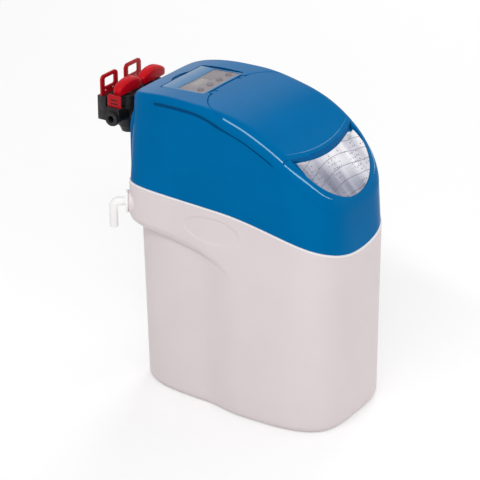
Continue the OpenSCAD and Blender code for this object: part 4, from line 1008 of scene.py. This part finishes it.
# Window plate
def make_window():
    arc = np.radians(np.linspace(WINDOW_START, 2 * FRONT_ANGLE - WINDOW_START, WINDOW_ARC_POINTS))
    front = mouth(arc, WINDOW_GAP)
    x, y = front[-1]
    flank = np.linspace(y, WINDOW_BACK_Y, WINDOW_FLANK_POINTS + 2)[1:-1]
    back = np.linspace(x, -x, WINDOW_BACK_POINTS)
    edge = np.concatenate([
        front, np.stack([np.full(len(flank), x), flank], -1),
        np.stack([back, np.full(len(back), WINDOW_BACK_Y)], -1),
        np.stack([np.full(len(flank), -x), flank[::-1]], -1)])
    before_lip = lip_y(np.minimum(LIP_TIP_X, np.abs(edge[:, 0]))) - edge[:, 1]
    shown = ease((before_lip - WINDOW_SHOWN) / WINDOW_SHOWN_L)
    rim = roof_top(edge[:, 1]) - roof_z(edge, 0.0) + WINDOW_EDGE
    edge_sink = mix(WINDOW_SINK, np.minimum(rim, WINDOW_SINK), shown)

    def level(s, lift):
        p = WINDOW_MID + (edge - WINDOW_MID) * np.broadcast_to(s, len(edge))[:, None]
        sink = mix(WINDOW_SINK, edge_sink, ease((s - WINDOW_FLAT) / (1.0 - WINDOW_FLAT)))
        return at(p, roof_top(p[:, 1]) - sink + lift)

    def seat(s):
        p = WINDOW_MID + (edge - WINDOW_MID) * s
        return at(p, seat_z(p[:, 1]) + WINDOW_LIFT)

    tray = loft([seat(s) for s in WINDOW_STEPS] + [level(s, 0.0) for s in WINDOW_STEPS[::-1]], looped=False)
    smooth(new_piece("window_tray", *tray, "cabinet", "blue_plastic", ["window_plate"]), degrees=50.0)
    reach = film_reach(edge)
    under = [level(s * reach, FILM_LIFT) for s in WINDOW_STEPS[:-1]]
    rim = [level(reach, FILM_FOOT), level(reach, FILM_T - FILM_EDGE), level(reach - FILM_EDGE_IN, FILM_T)]
    film = loft(under + rim + [level(s * reach, FILM_T) for s in WINDOW_STEPS[-2::-1]], looped=False)
    smooth(new_piece("window_film", *film, "cabinet", "silver_film"), degrees=50.0)


def film_reach(edge):
    """Share of the way from the middle to the tray's edge that the film covers, with rounded corners."""
    share = FILM_SHARES[:, None]
    p = WINDOW_MID + (edge - WINDOW_MID) * share[..., None]
    to_edge = (share - 1.0) * lengths(edge - WINDOW_MID) + FILM_MARGIN
    to_lip = p[..., 1] - lip_y(p[..., 0]) - FILM_UNDER
    round_in = np.maximum(FILM_ROUND - np.abs(to_edge - to_lip), 0.0) ** 2 / (4.0 * FILM_ROUND)
    outside = np.maximum(to_edge, to_lip) + round_in > 0
    return share[np.argmax(outside, axis=0), 0]


# Handles
def make_handle(name, side, body, node):
    place = np.array([side * PORT_PITCH / 2, PIVOT_Y, 0.0])
    t = np.sin(np.linspace(-math.pi / 2, math.pi / 2, HANDLE_RINGS)) * HANDLE_END
    a = circle(HANDLE_SIDES)
    c, s = np.cos(a), np.sin(a)
    rings = []
    for k in t:
        x = k * HANDLE_L / 2
        end = (1.0 - abs(k) ** HANDLE_END_N) ** (1.0 / HANDLE_END_N)
        half_w = HANDLE_W / 2 * end
        arch = HANDLE_ARCH - math.sqrt(HANDLE_ARCH ** 2 - x * x)
        top = HANDLE_TOP - arch - HANDLE_TOP_FALL * (1.0 - end)
        low = HANDLE_FOOT + HANDLE_FOOT_RISE * (1.0 - end)
        mid, half_h = (top + low) / 2, (top - low) / 2
        n = np.where(s > 0, 2.0 / HANDLE_TOP_N, 2.0 / HANDLE_FOOT_N)
        y = half_w * np.sign(c) * np.abs(c) ** n
        z = mid + half_h * np.sign(s) * np.abs(s) ** n
        rings.append(np.stack([np.full(len(a), x), y, z], -1) + place)
    points, faces = loft(rings, looped=False)
    handle = new_piece(name, points, faces, body, "red_plastic", [node])

    def bore(levels):
        around = [np.stack([r * c, r * s, np.full(len(a), h)], -1) for r, h in levels]
        skin, sides = loft(around, looped=False)
        return skin + place, sides

    wide = DIMPLE_D / 2 + DIMPLE_EDGE_W
    dimple = bore([(DIMPLE_D / 2, HANDLE_TOP - DIMPLE_IN), (DIMPLE_D / 2, HANDLE_TOP - DIMPLE_EDGE_FOOT),
                   (wide, HANDLE_TOP + DIMPLE_EDGE_TOP), (wide, HANDLE_TOP + CUT)])
    stem = bore([(STEM_D / 2, HANDLE_FOOT - CUT), (STEM_D / 2, STEM_TOP)])
    combine(handle, [("DIFFERENCE", *dimple), ("DIFFERENCE", *stem)])
    smooth(handle, degrees=40.0)


# Boss on the tank behind the overflow
def make_boss():
    r, hole = BOSS_D / 2, OVERFLOW_HOLE / 2
    profile = [(hole, -BOSS_IN), (r, -BOSS_IN), (r, BOSS_OUT - BOSS_CHAMFER), (r - BOSS_CHAMFER, BOSS_OUT),
               (hole, BOSS_OUT)]
    points, faces = turned(profile)
    smooth(new_piece("overflow_boss", at_overflow(points), faces, "cabinet", "white_plastic"))


# Thin printed ring on each key
def make_key_rings():
    for k, x in enumerate(KEY_X, 1):
        profile = [(RING_R + RING_HALF_W * math.cos(a), RING_Z + RING_HALF_H * math.sin(a))
                   for a in circle(RING_SIDES)]
        points, faces = turned(profile, RING_STEPS)
        placed = on_panel(points + [x, KEY_Y, 0.0], faces)
        ring = new_piece(f"key_ring_{k}", *placed, f"button_{k}", "black_plastic")
        smooth(ring, degrees=60.0)


# CAD nodes whose edges are rounded for the eye
def finish(node, width):
    mesh = nodes[node].data.copy()
    obj = add_object(node + "_finish", mesh)
    work = bmesh.new()
    work.from_mesh(mesh)
    bmesh.ops.remove_doubles(work, verts=work.verts, dist=BEVEL_WELD)
    flat, bent = math.radians(BEVEL_FLAT), math.radians(BEVEL_ANGLE)
    bmesh.ops.dissolve_limit(work, angle_limit=flat, verts=work.verts, edges=work.edges)
    sharp = [e for e in work.edges if e.is_manifold and e.calc_face_angle(0.0) > bent]
    bmesh.ops.bevel(work, geom=sharp, offset=width * MM, offset_type="OFFSET", segments=BEVEL_SEGMENTS,
                    profile=0.5, affect="EDGES", clamp_overlap=True)
    bmesh.ops.triangulate(work, faces=[f for f in work.faces if len(f.verts) > 4])
    work.to_mesh(mesh)
    work.free()
    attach(obj, BODY[node])
    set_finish(obj, SLOT[node])
    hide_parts(node)
    smooth(obj, degrees=30.0)


# Materials: all by object coordinates, in metres
def srgb(r, g, b):
    def linear(v):
        v /= 255.0
        return v / 12.92 if v <= 0.04045 else ((v + 0.055) / 1.055) ** 2.4

    return tuple(linear(v) for v in (r, g, b)) + (1.0,)


class Nodes:
    """A node tree and the links that all recipes share."""

    def __init__(self, tree):
        self.tree = tree

    def feed(self, target, value):
        """Links a socket to the target, or gives the target a plain value."""
        if isinstance(value, bpy.types.NodeSocket):
            self.tree.links.new(value, target)
        else:
            target.default_value = value

    def node(self, kind, inputs=(), **settings):
        made = self.tree.nodes.new("ShaderNode" + kind)
        for key, value in settings.items():
            setattr(made, key, value)
        for name, value in dict(inputs).items():
            self.feed(made.inputs[name], value)
        return made

    def maths(self, operation, *values):
        return self.node("Math", enumerate(values), operation=operation).outputs["Value"]

    def seen(self):
        """1 on the kinds of rays that show the background and 0 on the others."""
        path = self.node("LightPath")
        first, second, third = (path.outputs[name] for name in SEEN_RAYS)
        return self.maths("MAXIMUM", self.maths("MAXIMUM", first, second), third)


class Shader(Nodes):
    """A material with its surface node, and the textures that the recipes share."""

    def __init__(self, name):
        self.material = bpy.data.materials.new(name)
        self.material.use_nodes = True
        super().__init__(self.material.node_tree)
        self.surface = self.tree.nodes["Principled BSDF"]
        coordinates = self.node("TexCoord")
        self.place = coordinates.outputs["Object"]
        self.facing = coordinates.outputs["Normal"]

    def set(self, **values):
        for name, value in values.items():
            self.feed(self.surface.inputs[name.replace("_", " ")], value)

    def noise(self, scale, detail=3.0, stretch=None):
        place = self.place
        if stretch:
            place = self.node("Mapping", {"Vector": place, "Scale": stretch}).outputs["Vector"]
        return self.node("TexNoise", {"Vector": place, "Scale": scale, "Detail": detail}).outputs["Fac"]

    def spread(self, value, low, high, start=0.3, end=0.7):
        sides = {"Value": value, "From Min": start, "From Max": end, "To Min": low, "To Max": high}
        return self.node("MapRange", sides, interpolation_type="SMOOTHSTEP").outputs["Result"]

    def blend(self, share, first, second):
        made = self.node("Mix", data_type="RGBA")
        colours = [socket for socket in made.inputs if socket.type == "RGBA"]
        for socket, value in zip([made.inputs["Factor"]] + colours, (share, first, second)):
            self.feed(socket, value)
        return next(socket for socket in made.outputs if socket.type == "RGBA")

    def split(self, vector):
        return self.node("SeparateXYZ", {"Vector": vector}).outputs

    def worn_edges(self):
        pointed = self.node("NewGeometry").outputs["Pointiness"]
        convex = self.spread(pointed, 0.0, 1.0, 0.52, 0.6)
        return self.maths("MULTIPLY", convex, self.spread(self.noise(60.0), 0.2, 1.0))

    def bump(self, height, strength, distance, under=None):
        made = self.node("Bump", {"Strength": strength, "Distance": distance, "Height": height})
        if under:
            self.feed(made.inputs["Normal"], under)
        return made.outputs["Normal"]


# Moulded plastics: colours in sRGB, depth of the grain in metres
BLUE = dict(grain=1400, depth=2e-5, specular=0.5)
GLINT = (0.15, 0.65, 1.0, 1.0)
PLASTICS = {
    "white_plastic": dict(colour=(229, 218, 220), rough=0.42, grain=900, depth=6e-5, mottle=0.012,
                          wear=(238, 232, 232), waves=0.05, specular=0.3),
    "inner_white": dict(colour=(226, 225, 220), rough=0.5, mottle=0.02, specular=0.35),
    "bright_white": dict(colour=(255, 253, 252), rough=0.35, mottle=0.01),
    # Whiter colour for the painted highlight along the tank's rim line
    "white_rim": dict(colour=(248, 243, 243), rough=0.3, depth=3e-5, mottle=0.01),
    "blue_plastic": dict(BLUE, colour=(0, 106, 166), rough=0.15, wear=(40, 135, 195), ior=1.2, tint=GLINT),
    # Darker blue for painted shade in the groove, the recesses and the display panel's sides
    "blue_shade": dict(BLUE, colour=(0, 74, 124), rough=0.3, mottle=0.04, ior=1.2, tint=GLINT),
    # Darker blue for painted shade on the lid's lip band
    "blue_lip": dict(BLUE, colour=(0, 90, 148), rough=0.18, mottle=0.04, specular=0.2, ior=1.2, tint=GLINT),
    # Lighter blue for a painted highlight along the lid's crease
    "blue_crease": dict(BLUE, colour=(50, 126, 174), rough=0.15, ior=1.3),
    # Lighter blue with a glossy coat: painted highlight on the lid's side facets and the cover's front
    # crest, partly real coat reflection
    "blue_edge": dict(BLUE, colour=(120, 178, 218), rough=0.15, coat=1.0, coat_rough=0.06),
    "blue_panel": dict(BLUE, colour=(20, 112, 166), rough=0.2, coat=0.35, coat_rough=0.1),
    "black_plastic": dict(colour=(22, 20, 23), rough=0.42, grain=1100, depth=8e-5, mottle=0.12,
                          wear=(78, 76, 80)),
    "red_plastic": dict(colour=(200, 2, 20), rough=0.3, grain=1300, mottle=0.05,
                        wear=(216, 30, 38), ior=1.3),
    "red_clip": dict(colour=(178, 10, 24), rough=0.34, grain=1300, mottle=0.06,
                     wear=(200, 40, 46), ior=1.35),
    "grey_plastic": dict(colour=(138, 140, 145), rough=0.45, depth=6e-5, mottle=0.05),
    "rubber": dict(colour=(92, 92, 94), rough=0.7, grain=1500, depth=1e-4, mottle=0.1, specular=0.3),
    "pale_rubber": dict(colour=(222, 214, 214), rough=0.6, grain=1500, depth=8e-5, specular=0.3),
    "steel": dict(colour=(190, 193, 198), rough=0.32, grain=2200, depth=4e-5, mottle=0.06,
                  specular=0.5, ior=1.5, metal=1.0),
    "board": dict(colour=(28, 104, 56), rough=0.35, grain=900, depth=1e-4, mottle=0.15, specular=0.5),
    "lcd_glass": dict(colour=(154, 148, 149), rough=0.12, grain=1600, depth=1e-5, specular=0.5),
    "overlay_film": dict(colour=(142, 136, 140), rough=0.38, grain=2600),
    "key_film": dict(colour=(138, 132, 136), rough=0.36, grain=2600, mottle=0.04),
    "ring_ink": dict(colour=(92, 86, 90), rough=0.5, grain=2600, depth=3e-5, mottle=0.05, specular=0.3)}


def shade(colour, factor):
    return tuple(min(1.0, c * factor) for c in colour[:3]) + (1.0,)


def moulded(name, colour, rough, grain=1200, depth=5e-5, mottle=0.03, wear=None, waves=0.0, metal=0.0,
            specular=0.4, ior=1.45, tint=None, coat=0.0, coat_rough=0.08):
    """Moulded plastic: drifting tone, fine grain, faint scuffs and slightly worn edges."""
    shader = Shader(name)
    base = srgb(*colour)
    tone = shader.spread(shader.noise(14.0, 4.0), 0.0, 1.0)
    body = shader.blend(tone, shade(base, 1.0 - mottle), shade(base, 1.0 + mottle))
    scuffs = shader.spread(shader.noise(38.0, 6.0, (1.0, 1.0, 7.0)), 0.0, 1.0, 0.62, 0.74)
    if wear:
        body = shader.blend(shader.maths("MULTIPLY", shader.worn_edges(), 0.55), body, srgb(*wear))
    gloss = shader.spread(shader.noise(55.0, 5.0), rough - 0.03, rough + 0.05)
    under = shader.bump(shader.noise(26.0, 2.0), waves, 0.0006) if waves else None
    fine = shader.bump(shader.noise(grain, 2.0), 0.35, depth, under)
    shader.set(Base_Color=body, Roughness=shader.maths("MULTIPLY_ADD", scuffs, 0.07, gloss), Normal=fine)
    shader.set(Metallic=metal, Specular_IOR_Level=specular, IOR=ior)
    shader.set(Coat_Weight=coat, Coat_Roughness=coat_rough)
    if tint:
        shader.set(Specular_Tint=tint)
    return shader


def plastic(name):
    return moulded(name, **PLASTICS[name]).material


def blue_plastic():
    """Blue shell, polished most where it lies level."""
    shader = moulded("blue_plastic", **PLASTICS["blue_plastic"])
    level = shader.split(shader.facing)["Z"]
    shader.set(Specular_IOR_Level=shader.spread(level, 0.1, 0.6, 0.92, 0.998))
    return shader.material


def window_film():
    """Silver printed film with painted shade toward the front left, soft bands, dots and fine lines along
    the lip.
    """
    shader = Shader("window_film")
    x, y, _ = shader.split(shader.place)
    band = shader.spread(shader.noise(1.0, 2.0, (34.0, 5.0, 0.0)), 0.0, 1.0, 0.35, 0.68)
    bright = shader.blend(band, srgb(196, 195, 207), srgb(238, 237, 242))
    dim = shader.blend(band, srgb(112, 114, 134), srgb(168, 170, 188))
    across = shader.maths("ADD", shader.maths("MULTIPLY", x, 0.5), y)
    # Painted shade: the film turns to the darker tones toward the front left
    body = shader.blend(shader.spread(across, 0.0, 1.0, -0.17, -0.126), dim, bright)
    lattice = {"Vector": shader.place, "Scale": 190.0, "Randomness": 0.35}
    cells = shader.node("TexVoronoi", lattice, feature="F1")
    dots = shader.spread(cells.outputs["Distance"], 1.0, 0.0, 0.2, 0.28)
    patch = shader.spread(shader.noise(42.0, 1.0), 0.0, 0.9, 0.44, 0.52)
    body = shader.blend(shader.maths("MULTIPLY", dots, patch), body, srgb(88, 88, 104))
    bow = shader.maths("MULTIPLY", shader.maths("MULTIPLY", x, x), 2.2)
    wave = shader.maths("SINE", shader.maths("MULTIPLY", shader.maths("ADD", y, bow), 430.0))
    lines = shader.spread(wave, 0.0, 0.75, 0.975, 0.995)
    body = shader.blend(lines, body, srgb(92, 92, 108))
    gloss = shader.spread(shader.noise(80.0), 0.26, 0.4)
    fine = shader.bump(shader.noise(1800.0, 2.0), 0.3, 4e-5)
    shader.set(Base_Color=body, Roughness=gloss, Normal=fine, Metallic=0.2, Specular_IOR_Level=0.5)
    return shader.material


# Floor, light and camera
def make_floor():
    mesh = bpy.data.meshes.new("floor")
    corners = ((-1, -1), (1, -1), (1, 1), (-1, 1))
    mesh.from_pydata([(x * FLOOR_HALF, y * FLOOR_HALF, 0.0) for x, y in corners], [], [(0, 1, 2, 3)])
    floor = add_object("floor", mesh)
    shader = Shader("floor")
    shader.set(Base_Color=(FLOOR_TONE,) * 3 + (1.0,), Roughness=FLOOR_ROUGH, Specular_IOR_Level=0.0)
    glow = shader.node("Emission", {"Strength": shader.maths("MULTIPLY", shader.seen(), FLOOR_GLOW)})
    both = shader.node("AddShader", {0: shader.surface.outputs["BSDF"], 1: glow.outputs["Emission"]})
    shader.feed(shader.tree.nodes["Material Output"].inputs["Surface"], both.outputs["Shader"])
    mesh.materials.append(shader.material)


def make_world():
    world = bpy.data.worlds.new("studio")
    bpy.context.scene.world = world
    world.use_nodes = True
    world.node_tree.nodes.clear()
    studio = Nodes(world.node_tree)
    fill = studio.node("Background", {"Strength": WORLD_FILL}).outputs["Background"]
    white = studio.node("Background", {"Strength": WORLD_SEEN}).outputs["Background"]
    lit = studio.node("MixShader", {0: studio.seen(), 1: fill, 2: white})
    studio.node("OutputWorld", {"Surface": lit.outputs["Shader"]})


def make_lamp(name, toward, distance, size, power, along=(0.0, 0.0, 1.0)):
    """A panel that faces the object, its second size measured nearest to the direction along."""
    data = bpy.data.lights.new(name, "AREA")
    data.shape = "RECTANGLE"
    data.size, data.size_y = size
    data.energy = power
    lamp = add_object(name, data)
    direction = Vector(toward).normalized()
    lamp.location = Vector(LAMP_TARGET) + direction * distance
    across = Vector(along).cross(direction).normalized()
    axes = Matrix((across, direction.cross(across), direction)).transposed()
    lamp.rotation_euler = axes.to_euler()
    return lamp


def make_camera():
    data = bpy.data.cameras.new("camera")
    data.sensor_width = SENSOR_W
    data.lens = SENSOR_W * CAMERA_FOCUS_PX / IMAGE_PX
    camera = add_object("camera", data)
    az, el = math.radians(CAMERA_AZ), math.radians(CAMERA_EL)
    back = Vector((math.sin(az) * math.cos(el), -math.cos(az) * math.cos(el), math.sin(el)))
    camera.location = (Vector(CAMERA_TARGET) + back * CAMERA_DISTANCE) * MM
    camera.rotation_euler = (-back).to_track_quat("-Z", "Y").to_euler()
    bpy.context.scene.camera = camera


make_camera()
make_floor()
make_world()
sky = make_lamp("sky_panel", toward=(0.80, 0.21, 0.56), distance=6.5, size=(2.4, 2.4), power=84.0)
sky.visible_glossy = False
make_lamp("front_panel", toward=(-0.60, -0.70, 0.38), distance=6.5, size=(5.0, 5.0), power=72.0)
make_lamp("right_panel", toward=(0.75, -0.55, 0.36), distance=6.5, size=(5.0, 5.0), power=50.0)
make_lamp("edge_strip", toward=(-0.62, -0.13, 0.77), distance=2.6, size=(0.2, 2.2), power=20.0,
          along=(0.13, 0.71, 0.24))

make_tank()
make_boss()
make_cover()
make_lid()
make_window()
make_handle("inlet_grip", -1, "inlet_valve", "inlet_handle")
make_handle("outlet_grip", 1, "outlet_valve", "outlet_handle")
make_key_rings()
for node, width in FINISHED.items():
    finish(node, width)
# Painted shade: a darker blue on the display panel's side walls
paint(bpy.data.objects["display_panel_finish"], 1, lambda p, normal: normal[:, 2] < 0.5)

# Looks by material slot, looks of single pieces, and second looks for the faces that were painted: painted
# highlights and painted shade
PLAIN_SLOTS = ("white_plastic", "inner_white", "black_plastic", "red_plastic", "red_clip", "grey_plastic",
               "rubber", "steel", "board", "lcd_glass")
looks = {slot: plastic(slot) for slot in PLAIN_SLOTS}
looks["blue_plastic"] = blue_plastic()
looks["silver_film"] = plastic("overlay_film")
SPECIAL = {"window_film": window_film(), "overflow_elbow_finish": plastic("bright_white"),
           "overflow_gasket_finish": plastic("pale_rubber"), "display_panel_finish": plastic("blue_panel")}
for k in range(1, len(KEY_X) + 1):
    SPECIAL[f"key_{k}_finish"] = plastic("key_film")
    SPECIAL[f"key_ring_{k}"] = plastic("ring_ink")
highlight_look, painted_shade_look = plastic("blue_edge"), plastic("blue_shade")
# Second looks: painted highlight and painted shade on cover and lid, painted shade on panel sides, painted
# highlight on tank's rim line
EXTRA = {
    "cover_shell": (highlight_look, painted_shade_look),
    "lid_shell": (highlight_look, plastic("blue_lip"), plastic("blue_crease")),
    "display_panel_finish": (painted_shade_look,),
    "tank_shell": (plastic("white_rim"),)}
for piece in [o for o in bpy.data.objects if o.type == "MESH" and o.name != "floor"]:
    look = SPECIAL.get(piece.name) or looks[piece.get("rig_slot") or SLOT[piece.name]]
    if piece.material_slots:
        piece.material_slots[0].material = look
    else:
        piece.data.materials.append(look)
    for extra in EXTRA.get(piece.name, ()):
        piece.data.materials.append(extra)

bpy.context.scene.view_settings.view_transform = "Standard"
bpy.context.view_layer.update()
